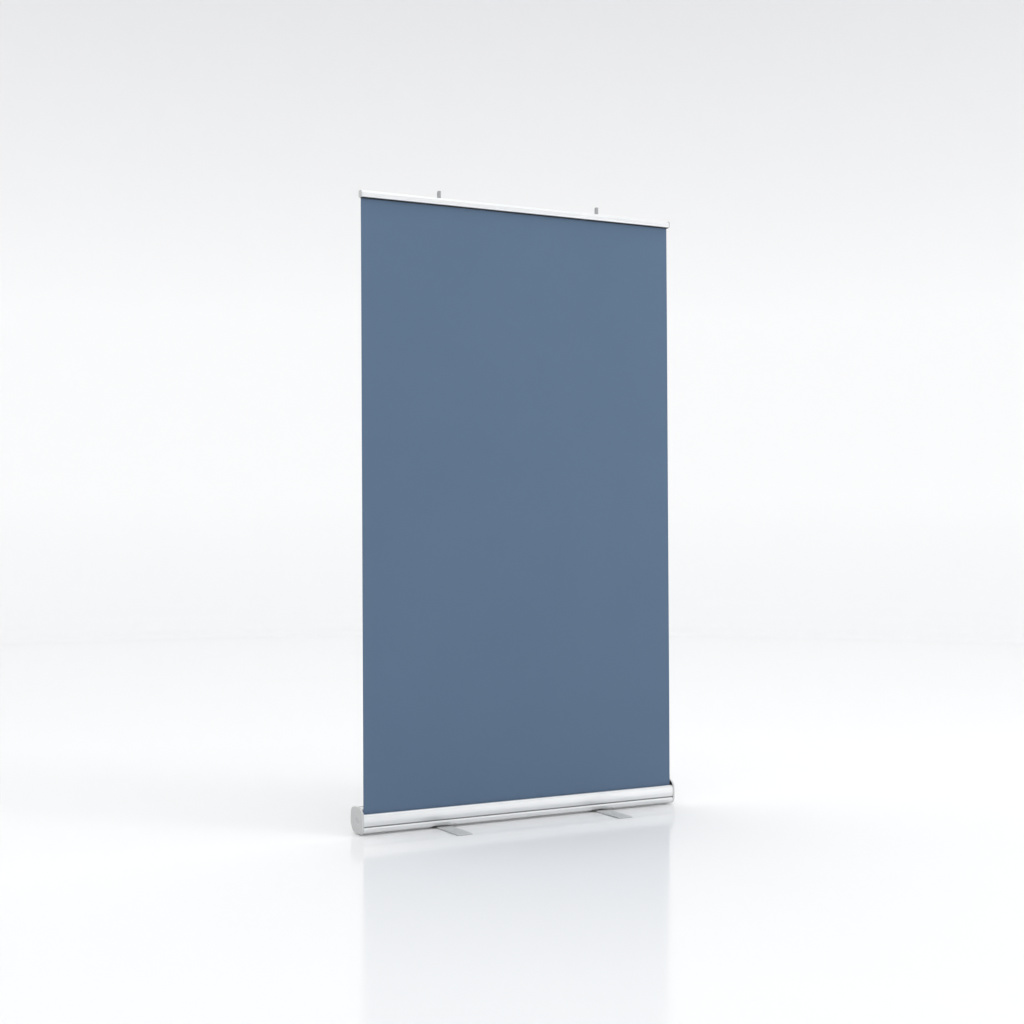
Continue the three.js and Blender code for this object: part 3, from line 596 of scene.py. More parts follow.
def end_ring(grow, x, side):
    """The cassette's end outline, grown by that much, at that distance from the middle."""
    return at_x(beside(end_line, -grow, closed=True), side * x)


def hole_ring(radius, x, side):
    """A circle about the roller's axis, with a point for each point of the end outline."""
    ring = []
    for y, z in end_line:
        a = math.atan2(z - roller_z, y - roller_y)
        ring.append((roller_y + radius * math.cos(a), roller_z + radius * math.sin(a)))
    return at_x(ring, side * x)


def about(centre, axis, line, along):
    """A ring drawn about an axis through the centre, at that place along the axis."""
    ring = []
    for a, b in line:
        at = (along, centre[1] + a, centre[2] + b)
        if axis == "z":
            at = (centre[0] + a, centre[1] + b, along)
        ring.append(tuple(v * mm for v in at))
    return ring


def hexagon(across, count):
    """A six-sided ring with that many points, that wide across its flats."""
    ring = []
    for i in range(count):
        a = 2 * math.pi * i / count
        r = across / 2 / math.cos((a + math.pi / 6) % (math.pi / 3) - math.pi / 6)
        ring.append((r * math.cos(a), r * math.sin(a)))
    return ring


def screw(centre, axis, tip, seat, shank, head, height, across, way, neck=None):
    """A headed screw from its tip to its seat, with a hexagon socket in the head."""
    top = seat + way * height
    ease = min(0.35, height * 0.25)
    body = [(shank * 0.7, tip), (shank, tip + way * shank * 0.5)]
    if neck:
        body += [(shank, neck[1]), (neck[0], neck[1])]
    body += [
        (neck[0] if neck else shank, seat), (head, seat), (head, top - way * ease),
        (head - ease, top), (across * 0.66, top),
    ]
    lines = [(circle(radius), along) for radius, along in body]
    lines += [
        (hexagon(across, 48), top - way * 0.1),
        (hexagon(across, 48), top - way * height * 0.75),
    ]
    return skin([about(centre, axis, line, along) for line, along in lines], "filled")


for name, side in SIDES.items():
    plate_node = f"bearing_plate_{name}"
    low, high = from_box(plate_node)
    plate_in, plate_out = sorted((abs(low.x), abs(high.x)))
    rings = [
        end_ring(-0.9, plate_in, side),
        end_ring(-0.9, plate_out - 0.3, side),
        end_ring(-1.2, plate_out, side),
        hole_ring(axle_hole, plate_out, side),
        hole_ring(axle_hole, plate_in, side),
    ]
    plate = as_object(f"{plate_node}_moulding", skin(rings, "joined"))
    span = sorted((side * (plate_in - 1), side * (plate_out + 1)))
    carve(plate, [round_bar(boss_hole, *span, y, z) for y, z in screw_places])
    finish_piece(plate, "cassette", [plate_node], [BLACK_NYLON])
    seat = side * (plate_out + 0.1)
    for i, (y, z) in enumerate(screw_places, 1):
        screw_sizes = {"shank": 1.6, "head": 3.1, "height": 1.6, "across": 2.4}
        body = screw((0, y, z), "x", seat - side * 14, seat, **screw_sizes, way=side)
        made = as_object(f"self_tapping_screw_{name}_{i}", body)
        finish_piece(made, "cassette", [f"plate_screw_{name}_{i}"], [TURNED_STEEL])


# ---------------------------------------------------------------- end caps
# A light grey moulded cap covers each end. Its edge is rounded over, its face is slightly domed,
# and a small screw in a round dish at the roller's axis holds it to the axle.

CAP_GREY = moulded_plastic(
    "cap_grey", (0.56, 0.565, 0.565), (0.66, 0.66, 0.66), 0.42, fineness=1100.0, depth=0.1
)
cap_proud = 1.0
cap_wall = 2.2
cap_edge = 1.6
cap_dome = 0.5
dish_radius, dish_depth = 11.0, 1.0


def quarter(edge, steps):
    """Steps round a rounded edge: how far in and how far back from the corner each lies."""
    turns = (math.pi / 2 * k / steps for k in range(steps + 1))
    return [(edge * (1 - math.cos(a)), edge * (1 - math.sin(a))) for a in turns]


for name, side in SIDES.items():
    cap_out = abs(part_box(f"end_cap_{name}")[0 if side < 0 else 1].x) / mm
    hollow = cap_out - cap_wall
    rings = [end_ring(0.75, plate_in, side), end_ring(cap_proud, plate_in + 0.3, side)]
    for inset, back in quarter(cap_edge, 6):
        rings.append(end_ring(cap_proud - inset, cap_out - cap_dome - back, side))
    rim = end_ring(cap_proud - cap_edge, cap_out, side)
    dish = hole_ring(dish_radius + 0.6, cap_out, side)
    for k in range(1, 9):
        drop = side * cap_dome * (math.sin(math.pi / 2 * k / 8) - 1) * mm
        ring = [Vector(a).lerp(Vector(b), k / 8) for a, b in zip(rim, dish)]
        rings.append([(x + drop, y, z) for x, y, z in ring])
    rings += [
        hole_ring(dish_radius, cap_out - 0.25, side),
        hole_ring(dish_radius - 0.3, cap_out - dish_depth, side),
        hole_ring(boss_hole, cap_out - dish_depth, side),
        hole_ring(boss_hole, hollow, side),
        end_ring(-0.6, hollow, side),
        end_ring(-0.6, plate_in, side),
    ]
    cap = as_object(f"end_cap_{name}_moulding", skin(rings, "joined"))
    finish_piece(cap, "cassette", [f"end_cap_{name}"], [CAP_GREY], crease=24)
    seat = side * (cap_out - 0.9)
    screw_sizes = {"shank": 1.6, "head": 5, "height": 1.4, "across": 3.0}
    body = screw((0, roller_y, roller_z), "x", seat - side * 9, seat, **screw_sizes, way=side)
    made = as_object(f"cap_fixing_screw_{name}", body)
    finish_piece(made, "cassette", [f"cap_screw_{name}"], [TURNED_STEEL])


# ---------------------------------------------------------------- roller and its spring
# An aluminium tube with a nylon plug in each end turns on an idler axle at the left and on the
# spring's arbor at the right. A long coil spring between arbor and tube pulls the film back in.

ROLLER_ALUMINIUM = anodised_aluminium("roller_aluminium", ALONG_THE_STAND, 0.92, 0.38)
roller_axis = (0, roller_y, roller_z)


def turned(profile, centre, axis, count, ends="joined"):
    """A turned piece: (radius, position) pairs about an axis through the centre."""
    rings = [about(centre, axis, circle(radius, count), along) for radius, along in profile]
    return skin(rings, ends)


def sleeve(inner, outer, start, end, ease):
    """The profile of a plain tube or ring with lightly broken outer edges."""
    return [
        (inner, start), (outer - ease, start), (outer, start + ease),
        (outer, end - ease), (outer - ease, end), (inner, end),
    ]


low, high = from_box("roller_tube")
half_roller = high.x
roller_r = (high.y - low.y) / 2
barrel = sleeve(roller_r - 1.5, roller_r, -half_roller, half_roller, 0.2)
tube = as_object("roller_barrel", turned(barrel, roller_axis, "x", 64))
finish_piece(tube, "roller", ["roller_tube"], [ROLLER_ALUMINIUM])

for name, side in SIDES.items():
    inner, outer = half_roller - 20, half_roller + 0.1
    profile = [
        (4.4, inner), (15.7, inner), (16.2, inner + 1), (16.2, outer), (17.7, outer),
        (18.0, outer + 0.3), (18.0, outer + 1.1), (17.5, outer + 1.5), (4.9, outer + 1.5),
        (4.4, outer + 1.0),
    ]
    profile = [(r, side * x) for r, x in profile]
    plug = as_object(f"roller_bush_{name}", turned(profile, roller_axis, "x", 64))
    finish_piece(plug, "roller", [f"roller_plug_{name}"], [BLACK_NYLON])

axles = {
    "idler_axle": ("idler_pin", -1, half_roller - 26),
    "spring_arbor": ("spring_mandrel", 1, half_cassette - 545),
}
for cad, (piece_name, side, inner) in axles.items():
    seat = plate_out + 0.1
    profile = [
        (3.4, inner), (4.0, inner + 0.6), (4.0, seat), (6.3, seat), (6.5, seat + 0.2),
        (6.5, seat + 1.7), (6.2, seat + 2), (2.0, seat + 2), (1.7, seat + 1.7),
        (1.7, seat - 8),
    ]
    profile = [(r, side * x) for r, x in profile]
    pin = as_object(piece_name, turned(profile, roller_axis, "x", 40, "filled"))
    finish_piece(pin, "cassette", [cad], [TURNED_STEEL])

low, high = from_box("spring_anchor")
profile = [
    (4.4, low.x), (15.8, low.x), (16.2, low.x + 0.4), (16.2, high.x - 4),
    (12, high.x - 1), (12, high.x), (4.4, high.x),
]
anchor = as_object("spring_anchor_bush", turned(profile, roller_axis, "x", 64))
finish_piece(anchor, "roller", ["spring_anchor"], [BLACK_NYLON])

low, high = from_box("arbor_stop")
profile = sleeve(4.15, 10.0, low.x, high.x, 0.3)
stop = as_object("arbor_collar", turned(profile, roller_axis, "x", 48))
finish_piece(stop, "cassette", ["arbor_stop"], [TURNED_STEEL])

SPRING_STEEL = plated_steel("oiled_spring_steel", tone=0.42, roughness=0.32)


def coil(x0, x1, radius, wire, turns, round_points=10, per_turn=20):
    """A coil spring about the roller's axis."""
    rings = []
    steps = turns * per_turn
    for k in range(steps + 1):
        t = k / steps
        a = 2 * math.pi * turns * t
        out = Vector((0, math.cos(a), math.sin(a)))
        middle = Vector((x0 + (x1 - x0) * t, roller_y, roller_z)) + out * radius
        rings.append(
            [
                tuple((middle + out * b + Vector((c, 0, 0))) * mm)
                for b, c in circle(wire, round_points)
            ]
        )
    return skin(rings, "filled")


low, high = from_box("torsion_spring")
spring = as_object("return_spring", coil(low.x + 1.2, high.x - 1.2, 8.0, 0.95, 90))
finish_piece(spring, "cassette", ["torsion_spring"], [SPRING_STEEL], crease=60)


# ---------------------------------------------------------------- film
# One sheet of grey-backed matt film, printed on its face in a plain blue. It comes off the front
# of the roller, rises through the slot and leans back slightly to the rail that clamps its top.


def build_film_tooth():
    """The faint tooth of a matt coated film."""
    group, start, end = effect(
        "film_tooth",
        [("Depth", "NodeSocketFloat", 0.1)],
        [("Tooth", "NodeSocketFloat"), ("Normal", "NodeSocketVector")],
    )
    fine = noise(group, start["Place"], 1800.0)
    feed(group, end, {"Tooth": fine, "Normal": relief(group, fine, start["Depth"], 0.0002)})
    return group


FILM_TOOTH = build_film_tooth()


def coated_film(name, deep, pale, roughness, depth):
    """Matt coated film with a very even tone."""
    made, tree, shader, place = new_material(name)
    tooth = use(tree, FILM_TOOTH, {"Place": place, "Depth": depth})
    hands = use(tree, HANDLING, {"Place": place, "Size": 2.2})
    finish = {
        "Base Color": blended(tree, hands["Mask"], deep, pale),
        "Roughness": between(tree, tooth["Tooth"], roughness - 0.04, roughness + 0.06),
        "Normal": tooth["Normal"],
        "Specular IOR Level": 0.25,
    }
    feed(tree, shader, finish)
    return made


PRINT_BLUE = coated_film("printed_blue", (0.086, 0.138, 0.215), (0.09, 0.143, 0.221), 0.5, 0.08)
FILM_BACK = coated_film("grey_film_back", (0.47, 0.48, 0.49), (0.5, 0.505, 0.515), 0.55, 0.12)
FILM_EDGE = coated_film("cut_film_edge", (0.06, 0.075, 0.1), (0.08, 0.1, 0.13), 0.5, 0.05)

film_top_y = film_high.y - film_thickness / 2
film_in_rail = 16
rail_z = film_high.z - film_in_rail
clamp_z = rail_z + 8
half_film = film_high.x


def film_centre(z):
    """Where the film's middle lies from front to back at that height."""
    risen = max(0.0, min(1.0, (z - lip_z) / (rail_z - lip_z)))
    return slot_y + (film_top_y - slot_y) * risen


def film_wave(x, z):
    """The slight unevenness of a sheet under tension, none at its held ends."""
    free = max(0.0, min(1.0, (z - lip_z - 20) / 250, (rail_z - 12 - z) / 250))
    lift = math.sin(x / 173 + z / 610) * math.cos(z / 420 - x / 900)
    curl = (abs(x) / half_film) ** 6
    return free * (0.35 * lift - 0.5 * curl)


def film_sheet(up_steps=48, across=32):
    """The front and back of the sheet with its cut edges, each with a material of its own."""
    heights = [film_low.z, (film_low.z + lip_z) / 2, lip_z]
    heights += [lip_z + (rail_z - lip_z) * (i + 1) / up_steps for i in range(up_steps)]
    heights += [clamp_z, film_high.z]
    columns = [-half_film + 2 * half_film * i / across for i in range(across + 1)]
    mesh = bmesh.new()
    sheets = []
    for offset in (-film_thickness / 2, film_thickness / 2):
        rows = []
        for z in heights:
            places = [(x, film_centre(z) + film_wave(x, z) + offset, z) for x in columns]
            rows.append([mesh.verts.new([v * mm for v in place]) for place in places])
        sheets.append(rows)
    front, back = sheets
    last = len(heights) - 1
    quads = []
    for r in range(last):
        for c in range(across):
            quads.append((0, front[r][c], front[r][c + 1], front[r + 1][c + 1], front[r + 1][c]))
            quads.append((1, back[r][c], back[r + 1][c], back[r + 1][c + 1], back[r][c + 1]))
        for c in (0, across):
            quads.append((2, front[r][c], front[r + 1][c], back[r + 1][c], back[r][c]))
    for r in (0, last):
        for c in range(across):
            quads.append((2, front[r][c], back[r][c], back[r][c + 1], front[r][c + 1]))
    for material, *corners in quads:
        mesh.faces.new(corners).material_index = material
    bmesh.ops.recalc_face_normals(mesh, faces=mesh.faces)
    return mesh


film = as_object("printed_banner", film_sheet())
film_faces = [PRINT_BLUE, FILM_BACK, FILM_EDGE]
finish_piece(film, "cassette", ["banner_film"], film_faces)
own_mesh(film)

low, high = from_box("wound_film")
wound_r = (high.y - low.y) / 2
profile = sleeve(roller_r + 0.3, wound_r, low.x, high.x, 0.1)
wound = as_object("wound_turns", turned(profile, roller_axis, "x", 72))
finish_piece(wound, "roller", ["wound_film"], [FILM_BACK])


# ---------------------------------------------------------------- snap rail
# Two aluminium profiles clamp the top of the film. The back one ends in a round bead, and the
# front jaw's claw turns on that bead and snaps shut. A moulded cap closes each end.


def dusty_rubber(name):
    """Black rubber with a dusty bloom."""
    made, tree, shader, place = new_material(name)
    grain = use(tree, MOULDED_GRAIN, {"Place": place, "Fineness": 700.0, "Depth": 0.3})
    dust = use(tree, HANDLING, {"Place": place, "Size": 60.0})
    finish = {
        "Base Color": blended(tree, dust["Mask"], (0.015, 0.015, 0.015), (0.045, 0.043, 0.04)),
        "Roughness": between(tree, grain["Grain"], 0.75, 0.92),
        "Normal": grain["Normal"],
    }
    feed(tree, shader, finish)
    return made


RAIL_ALUMINIUM = anodised_aluminium("rail_aluminium", ALONG_THE_STAND, 1.06, 0.34)
# The dark rubber of the strip under the jaw is painted shade, standing in for the rail's shadow on
# the film.
SHADE_STRIP_RUBBER = dusty_rubber("shade_strip_rubber")
rail_high = from_box("rail_back")[1]
half_rail = rail_high.x
rail_back_y = rail_high.y
rail_front_y = rail_back_y - 21
rail_wall = 1.5
hinge_y = rail_back_y - 13
hinge_z = rail_z + 19.5
backing_y = film_top_y + film_thickness / 2 + 0.3


def hinge_arc(radius, start, end, steps):
    """An arc about the hinge line, from one angle to another, in degrees."""
    arc = []
    for i in range(steps + 1):
        a = math.radians(start + (end - start) * i / steps)
        arc.append((hinge_y + radius * math.cos(a), hinge_z + radius * math.sin(a)))
    return arc


rail_top_corner = rounded(
    [
        (rail_back_y, rail_z), (rail_back_y, hinge_z + 0.75, 1.0),
        (hinge_y + 2, hinge_z + 0.75, 0),
    ],
    0.35,
)[:-1]
rail_legs = [
    (backing_y, hinge_z - 0.75), (backing_y, rail_z + 0.3), (backing_y + 0.3, rail_z),
    (backing_y + 1.2, rail_z), (backing_y + rail_wall, rail_z + 0.3),
    (backing_y + rail_wall, hinge_z - 0.75), (rail_back_y - rail_wall, hinge_z - 0.75),
    (rail_back_y - rail_wall, rail_z + 0.3), (rail_back_y - 1.2, rail_z),
]
rail_back_line = rail_top_corner + hinge_arc(1.5, 30, 330, 24) + rail_legs
rail = as_object("rail_back_profile", bar(rail_back_line, -half_rail, half_rail, 0.12))
finish_piece(rail, "rail", ["rail_back"], [RAIL_ALUMINIUM])

jaw_lip_y = film_top_y - film_thickness / 2 - 0.4
jaw_front = eased(
    [
        (rail_front_y + 1.2, hinge_z - 2.2), (rail_front_y + 0.15, hinge_z - 5),
        (rail_front_y, hinge_z - 9), (rail_front_y, rail_z + 4.5),
        (rail_front_y + 1.3, rail_z + 1.3), (rail_front_y + 4.5, rail_z),
    ],
    24,
)
jaw_lip = [
    (jaw_lip_y - 0.3, rail_z), (jaw_lip_y, rail_z + 0.3),
    (jaw_lip_y, rail_z + 1.2), (jaw_lip_y - 0.3, rail_z + rail_wall),
]
jaw_inner = eased(
    [
        (rail_front_y + 5, rail_z + rail_wall), (rail_front_y + 2.3, rail_z + 2.5),
        (rail_front_y + rail_wall, rail_z + 5), (rail_front_y + rail_wall, hinge_z - 9),
        (rail_front_y + 1.65, hinge_z - 5.4), (rail_front_y + 2.4, hinge_z - 3.8),
    ],
    20,
)
claw_outside, claw_inside = 3.1, 1.9
jaw_line = hinge_arc(claw_outside, 112, 180, 10) + jaw_front + jaw_lip + jaw_inner
jaw_line += hinge_arc(claw_outside, 225, 288, 10) + hinge_arc(claw_inside, 288, 112, 24)
half_jaw = from_box("rail_jaw")[1].x
jaw = as_object("rail_jaw_profile", bar(jaw_line, -half_jaw, half_jaw, 0.12))
finish_piece(jaw, "jaw", ["rail_jaw"], [RAIL_ALUMINIUM])

# A black strip along the jaw's lower lip is painted shade: it stands in for the rail's shadow on
# the film, drawn as a soft rubber strip.
shade_strip_line = rounded(
    [
        (jaw_lip_y + 0.12, rail_z - 2.2), (jaw_lip_y + 0.12, rail_z + 1.3),
        (jaw_lip_y + 0.05, rail_z + 1.3), (jaw_lip_y + 0.05, rail_z - 0.05),
        (rail_front_y + 4.2, rail_z - 0.05), (rail_front_y + 4.2, rail_z - 1.2),
        (jaw_lip_y - 2, rail_z - 2.2),
    ],
    0.2,
)
grip = as_object("jaw_shade_strip", bar(shade_strip_line, -half_jaw, half_jaw, 0.1))
finish_piece(grip, "jaw", [], [SHADE_STRIP_RUBBER])

for name, side in SIDES.items():
    cad = f"rail_cap_{name}"
    low, high = from_box(cad)
    x_in, x_out = sorted((abs(low.x), abs(high.x)))
    cap_line = rounded(
        [
            (high.y, low.z, 1.2), (high.y, high.z - 2.2, 1.5), (high.y - 2.2, high.z - 0.4, 2.5),
            (hinge_y, high.z, 2.5), (low.y + 2.6, high.z - 2.3, 3.0), (low.y, hinge_z - 5, 2.5),
            (low.y, low.z + 4, 2.5), (low.y + 4, low.z, 2.5),
        ],
        1.0,
        steps=6,
    )
    inwards = -1 if area(cap_line) < 0 else 1
    rings = [at_x(cap_line, side * x_in)]
    for inset, back in quarter(1.2, 5):
        rings.append(at_x(beside(cap_line, inwards * inset, closed=True), side * (x_out - back)))
    made = as_object(f"{cad}_moulding", skin(rings, "filled"))
    finish_piece(made, "rail", [cad], [CAP_GREY])


# ---------------------------------------------------------------- poles
# Each pole is three drawn aluminium tubes, one inside the other, standing in a nylon socket in
# the cassette's top. A ribbed collar on each joint squeezes a split ring on to the inner tube.

UP_THE_POLE = (900.0, 900.0, 1.2)
POLE_ALUMINIUM = anodised_aluminium("pole_aluminium", UP_THE_POLE, 0.95, 0.27)
GREY_NYLON = moulded_plastic("grey_nylon", (0.34, 0.345, 0.35), (0.5, 0.5, 0.5), 0.44)
tube_wall = 1.1
tube_radius = {"lower": 9.5, "middle": 8.0, "upper": 6.5}
socket_radius = 11.4
pole_joints = (("lower", "lower", "middle"), ("upper", "middle", "upper"))
sliding_room = 0.4
finger_ribs, rib_depth = 18, 0.8


def ribbed_sleeve(profile, centre, z0, z1, count=144):
    """A turned sleeve whose outside swells into finger ribs between two heights."""
    rings = []
    for radius, z, outer in profile:
        ring = []
        for i in range(count):
            a = 2 * math.pi * i / count
            r = radius
            if outer and z0 < z < z1:
                r -= rib_depth * (0.5 - 0.5 * math.cos(finger_ribs * a)) ** 2
            ring.append((r * math.cos(a), r * math.sin(a)))
        rings.append(about(centre, "z", ring, z))
    return skin(rings, "joined")


for name, side in SIDES.items():
    centre = (side * pole_x, pole_y, 0)
    cad = f"pole_socket_{name}"
    low, high = from_box(cad)
    outer = socket_radius
    profile = [
        (outer - 0.6, low.z), (outer, low.z + 0.6), (outer, top_z + 0.3),
        (outer + 3.0, top_z + 0.3), (outer + 3.0, top_z + 1.3), (outer + 2.4, top_z + 2.0),
        (outer + 0.8, top_z + 2.6), (outer + 0.3, top_z + 4.0), (outer, high.z - 0.8),
        (outer - 0.4, high.z), (9.9, high.z), (9.8, high.z - 0.4), (9.8, low.z + 1.2),
    ]
    socket = as_object(f"pole_cup_{name}", turned(profile, centre, "z", 64, "filled"))
    finish_piece(socket, "cassette", [cad], [BLACK_NYLON])

    tube_homes = {"lower": "cassette", "middle": f"middle_{name}", "upper": "rail"}
    for level, home in tube_homes.items():
        cad = f"{level}_tube_{name}"
        low, high = from_box(cad)
        r = (high.x - low.x) / 2
        profile = sleeve(r - tube_wall, r, low.z, high.z, 0.15)
        made = as_object(f"pole_{level}_section_{name}", turned(profile, centre, "z", 64))
        finish_piece(made, home, [cad], [POLE_ALUMINIUM])

    for level, outside_tube, inside_tube in pole_joints:
        below, above = tube_radius[outside_tube], tube_radius[inside_tube]
        cad = f"{level}_collar_{name}"
        low, high = from_box(cad)
        r = (high.x - low.x) / 2
        z0, z1 = low.z, high.z
        step = from_box(f"{level}_collet_{name}")[1].z + 0.8
        lower_end = [
            (r - 1.0, 0), (r - 0.3, 0.6), (r, 1.6), (r, 5.2), (r - 0.25, 6.0), (r, 7.0),
        ]
        grip = [(r, 8.5 + 2.55 * k) for k in range(11)]
        upper_end = [
            (r, -13.0), (r - 0.25, -12.0), (r, -11.0), (r, -6.0), (r - 0.4, -4.6),
            (r - 2.4, -0.9), (r - 3.0, 0),
        ]
        profile = [(below + sliding_room, z0, False)]
        profile += [(radius, z0 + up, True) for radius, up in lower_end + grip]
        profile += [(radius, z1 + up, True) for radius, up in upper_end]
        bore = ((above, z1), (above, step), (below, step))
        profile += [(radius + sliding_room, z, False) for radius, z in bore]
        collar = as_object(
            f"twist_collar_{level}_{name}",
            ribbed_sleeve(profile, centre, z0 + 7.5, z1 - 13.5),
        )
        lock_body = f"{level}_lock_{name}"
        finish_piece(collar, lock_body, [cad], [BLACK_NYLON], crease=40)

        cad = f"{level}_collet_{name}"
        low, high = from_box(cad)
        bore = above + sliding_room
        profile = [
            (bore, low.z), (below - 0.3, low.z), (below, low.z + 0.3),
            (below, high.z - 6), (below - 0.7, high.z), (bore, high.z),
        ]
        ring = as_object(f"split_ring_{level}_{name}", turned(profile, centre, "z", 64))
        x = centre[0]
        slit = brick((x - 0.6, pole_y + 2, low.z - 1), (x + 0.6, pole_y + 12, high.z + 1))
        carve(ring, [slit])
        finish_piece(ring, tube_homes[outside_tube], [cad], [GREY_NYLON])


# ---------------------------------------------------------------- pole heads
# A grey nylon head plugs the top tube. Its tongue reaches up inside the rail's back profile, and
# its flat tip stands above the rail, cut at a slant and rounded along its edges.


def softened(piece, width, segments=3, angle=40):
    """Rounds the piece's sharp edges."""
    soft = piece.modifiers.new("soft", "BEVEL")
    soft.width = width * mm
    soft.segments = segments
    soft.limit_method = "ANGLE"
    soft.angle_limit = math.radians(angle)
    settle(piece)


blade_front = rail_back_y + 0.3
blade_back = blade_front + 9
blade_half_width = 5
tongue_front = backing_y + 1.8
tongue_back = rail_back_y - 1.8
for name, side in SIDES.items():
    cad = f"pole_head_{name}"
    tip = from_box(cad)[1].z
    tube_top = from_box(f"upper_tube_{name}")[1].z
    x = side * pole_x
    outline = [
        (blade_back, tube_top + 3), (blade_back, tip - 3.5), (blade_back - 2.5, tip - 1.2),
        (blade_front, tip), (blade_front, rail_z - 0.3), (tongue_back, rail_z - 0.3),
        (tongue_back, rail_z + 12), (tongue_front, rail_z + 12), (tongue_front, rail_z - 5),
        (blade_front - 1, rail_z - 10),
    ]
    rings = [at_x(outline, x - blade_half_width), at_x(outline, x + blade_half_width)]
    head = as_object(f"{cad}_moulding", skin(rings, "filled"))
    softened(head, 0.5)
    profile = [
        (4.6, tube_top - 20), (5.1, tube_top - 19.5), (5.1, tube_top + 0.1),
        (7.0, tube_top + 0.1), (7.3, tube_top + 0.4), (7.3, tube_top + 4.4),
        (6.7, tube_top + 5),
    ]
    carve(head, [turned(profile, (x, pole_y, 0), "z", 48, "filled")], "UNION")
    finish_piece(head, "rail", [cad], [GREY_NYLON])


# ---------------------------------------------------------------- feet
# Each foot is one flat steel bar in silver powder coat that swings under the cassette on a
# shoulder bolt. Its ends are ground to a slope, and a ribbed rubber pad is stuck under each end.


def powder_coat():
    """Silver powder coat: a fine even orange peel over the steel, thinner along the edges."""
    made, tree, shader, place = new_material("silver_powder_coat")
    grain = use(tree, MOULDED_GRAIN, {"Place": place, "Fineness": 900.0, "Depth": 0.2})
    edges = use(tree, RUBBED_EDGES, {"Place": place, "Width": 0.0007})
    flake = node(tree, "ShaderNodeTexVoronoi", {"Vector": place, "Scale": 3000.0})
    tone = blended(tree, flake.outputs["Distance"], (0.5, 0.508, 0.51), (0.58, 0.588, 0.59))
    finish = {
        "Base Color": blended(tree, edges["Mask"], tone, (0.7, 0.7, 0.7)),
        "Roughness": between(tree, grain["Grain"], 0.4, 0.55),
        "Normal": grain["Normal"],
        "Specular IOR Level": 0.2,
    }
    feed(tree, shader, finish)
    return made


POWDER_COAT = powder_coat()
PAD_RUBBER = dusty_rubber("pad_rubber")
foot_edge = 1.2
foot_ramp = 14
pad_ribs = 10
rib_gap = 0.35
bolt_head_height = 1.8

for name, side in SIDES.items():
    x = side * pole_x
    foot_body = f"foot_{name}"
    cad = f"foot_bar_{name}"
    low, high = from_box(cad)
    reach = high.y
    slope = [
        (-reach, low.z), (reach, low.z), (reach, low.z + foot_edge),
        (reach - foot_ramp, high.z), (-reach + foot_ramp, high.z), (-reach, low.z + foot_edge),
    ]
    rings = [at_x(slope, low.x), at_x(slope, high.x)]
    foot = as_object(f"foot_{name}_flat_bar", skin(rings, "filled"))
    softened(foot, 0.45, angle=12)
    through_hole = upright(bolt_hole, x, 0, low.z - 1, high.z + 1, 48)
    head_seat = upright(9.3, x, 0, low.z - 1, low.z + 2.2, 48)
    carve(foot, [through_hole, head_seat])
    finish_piece(foot, foot_body, [cad], [POWDER_COAT], crease=50)

    for end in ("front", "back"):
        cad = f"foot_pad_{name}_{end}"
        low, high = from_box(cad)
        pitch = (high.y - low.y) / pad_ribs
        gap_z = low.z + rib_gap
        line = [(low.y, high.z), (low.y, gap_z)]
        for k in range(pad_ribs):
            y = low.y + k * pitch
            line += [(y + pitch * 0.1, low.z), (y + pitch * 0.62, low.z)]
            line += [(y + pitch * 0.78, gap_z), (y + pitch * 0.94, gap_z)]
        line += [(high.y, gap_z), (high.y, high.z)]
        pad = as_object(f"rubber_pad_{name}_{end}", bar(line, low.x, high.x, 0.1))
        finish_piece(pad, foot_body, [cad], [PAD_RUBBER])

    cad = f"pivot_bolt_{name}"
    bolt_low, bolt_high = from_box(cad)
    seat = bolt_low.z + bolt_head_height
    screw_sizes = {"shank": 3.0, "head": 9.0, "height": bolt_head_height, "across": 5.0}
    shoulder = (4.0, base_z + 1.8)
    body = screw((x, 0, 0), "z", bolt_high.z, seat, **screw_sizes, way=-1, neck=shoulder)
    bolt = as_object(f"shoulder_bolt_{name}", body)
    finish_piece(bolt, "cassette", [cad], [TURNED_STEEL])

    cad = f"pivot_washer_{name}"
    low, high = from_box(cad)
    profile = sleeve(bolt_hole, 15.0, low.z, high.z, 0.2)
    washer = as_object(f"foot_washer_{name}", turned(profile, (x, 0, 0), "z", 64))
    finish_piece(washer, "cassette", [cad], [BLACK_NYLON])

    cad = f"pivot_block_{name}"
    low, high = from_box(cad)
    nut = as_object(f"threaded_block_{name}", brick(low, high))
    softened(nut, 0.5)
    carve(nut, [upright(3.15, x, 0, low.z - 1, high.z + 1, 40)])
    finish_piece(nut, "cassette", [cad], [TURNED_STEEL])


# ---------------------------------------------------------------- studio
# A wide white floor sweeps up into a round wall on all sides, so every direction is pale.
# Its glaze mirrors the stand faintly. Large soft lights stand overhead and at the front right.


def studio_white():
    """White floor paint under a clear glaze; the wall is paler as painted light and darker at its
    top as painted shade.
    """
    made, tree, shader, place = new_material("studio_white")
    spots = noise(tree, place, 0.6)
    height = node(tree, "ShaderNodeSeparateXYZ", {0: place}).outputs[2]
    floor_tone = blended(tree, spots, (0.855, 0.859, 0.863), (0.865, 0.869, 0.873))
    # The paler wall is painted light, lifting the shade of the upright wall.
    painted_wall_tone = blended(tree, share(tree, height, 0.02, 1.2), floor_tone, (0.92, 0.92, 0.92))
    finish = {
        # The darker band at the top of the wall is painted shade.
        "Base Color": blended(tree, share(tree, height, 3.2, 7.0), painted_wall_tone, (0.74, 0.74, 0.75)),
        "Roughness": 0.12,
        "IOR": 1.14,
    }
    feed(tree, shader, finish)
    return made


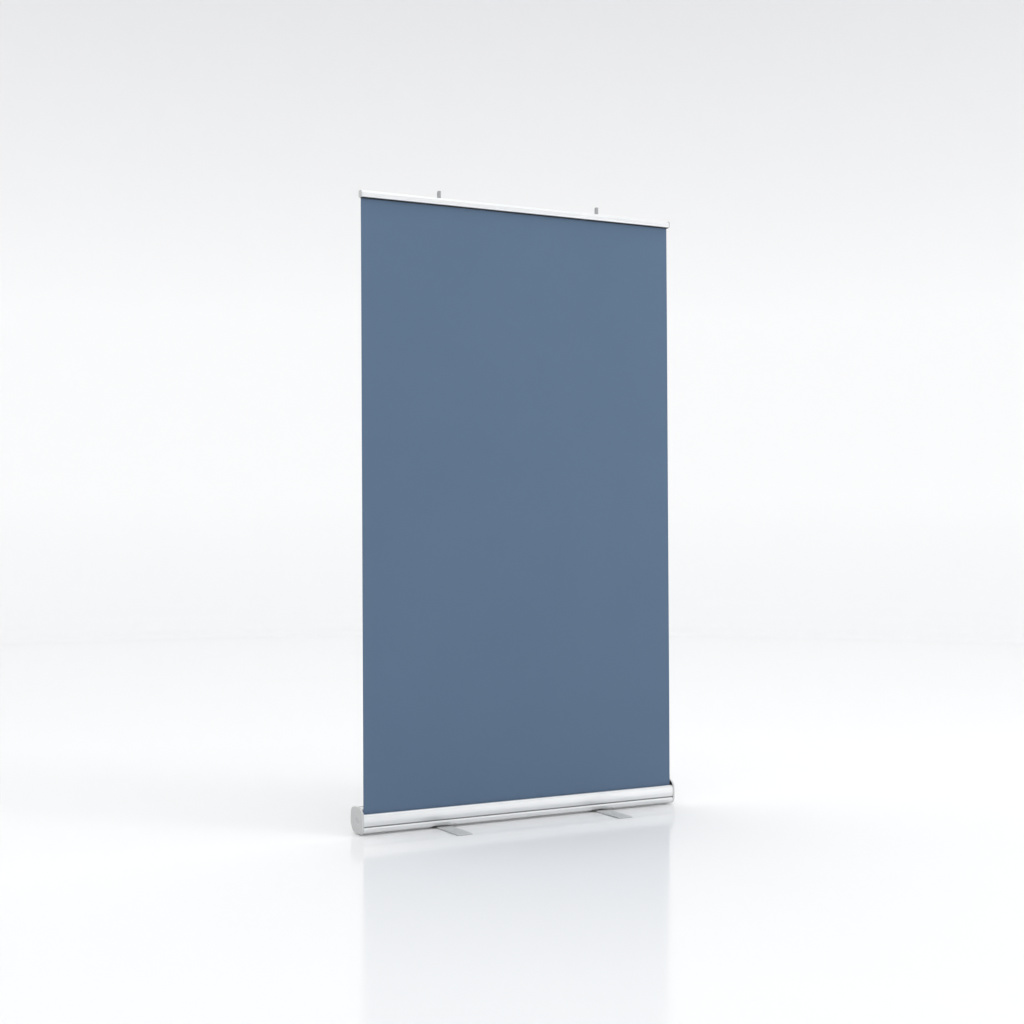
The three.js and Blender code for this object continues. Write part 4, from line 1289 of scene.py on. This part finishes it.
floor_radius = 8.5
bend_radius = 5.0
sweep = [(2.0, 0.0), (5.0, 0.0), (floor_radius, 0.0)]
for k in range(1, 17):
    a = math.pi / 2 * k / 16
    out, up = bend_radius * math.sin(a), bend_radius * (1 - math.cos(a))
    sweep.append((floor_radius + out, up))
wall_radius = floor_radius + bend_radius
sweep += [(wall_radius, 6.0), (wall_radius, 7.5)]
bowl = bmesh.new()
rows = [[bowl.verts.new((x, y, z)) for x, y in circle(r, 96)] for r, z in sweep]
bowl.faces.new(rows[0])
for first, second in zip(rows, rows[1:]):
    for i in range(len(first)):
        j = (i + 1) % len(first)
        bowl.faces.new((first[i], second[i], second[j], first[j]))
floor = as_object("studio_floor", bowl)
floor.data.materials.append(studio_white())
for face in floor.data.polygons:
    face.use_smooth = True


def soft_light(name, place, aim, width, height, power, glossy):
    lamp = bpy.data.lights.new(name, "AREA")
    lamp.shape = "RECTANGLE"
    lamp.size, lamp.size_y = width, height
    lamp.energy = power
    made = bpy.data.objects.new(name, lamp)
    made.location = place
    made.rotation_euler = (Vector(aim) - Vector(place)).to_track_quat("-Z", "Y").to_euler()
    made.visible_camera = False
    made.visible_glossy = glossy
    bpy.context.scene.collection.objects.link(made)


soft_light("overhead_light", (0.3, -0.6, 6.4), (0, 0, 0.8), 5.0, 4.0, 30, True)
soft_light("front_right_light", (8.4, -9.6, 4.0), (0, 0, 0.9), 3.6, 3.6, 450, False)

world = bpy.data.worlds.new("studio_air")
world.use_nodes = True
air = world.node_tree.nodes["Background"].inputs
air["Color"].default_value = (0.99, 0.995, 1.0, 1)
air["Strength"].default_value = 1.13
bpy.context.scene.world = world
bpy.context.scene.view_settings.view_transform = "Standard"

lens = bpy.data.cameras.new("camera")
lens.sensor_width = 36.0
lens.lens = 59.4
lens.clip_end = 100.0
camera = bpy.data.objects.new("camera", lens)
camera.location = (-2.8782, -5.0032, 1.0444)
camera.rotation_euler = (math.pi / 2, 0, math.radians(-29.64))
bpy.context.scene.collection.objects.link(camera)
bpy.context.scene.camera = camera
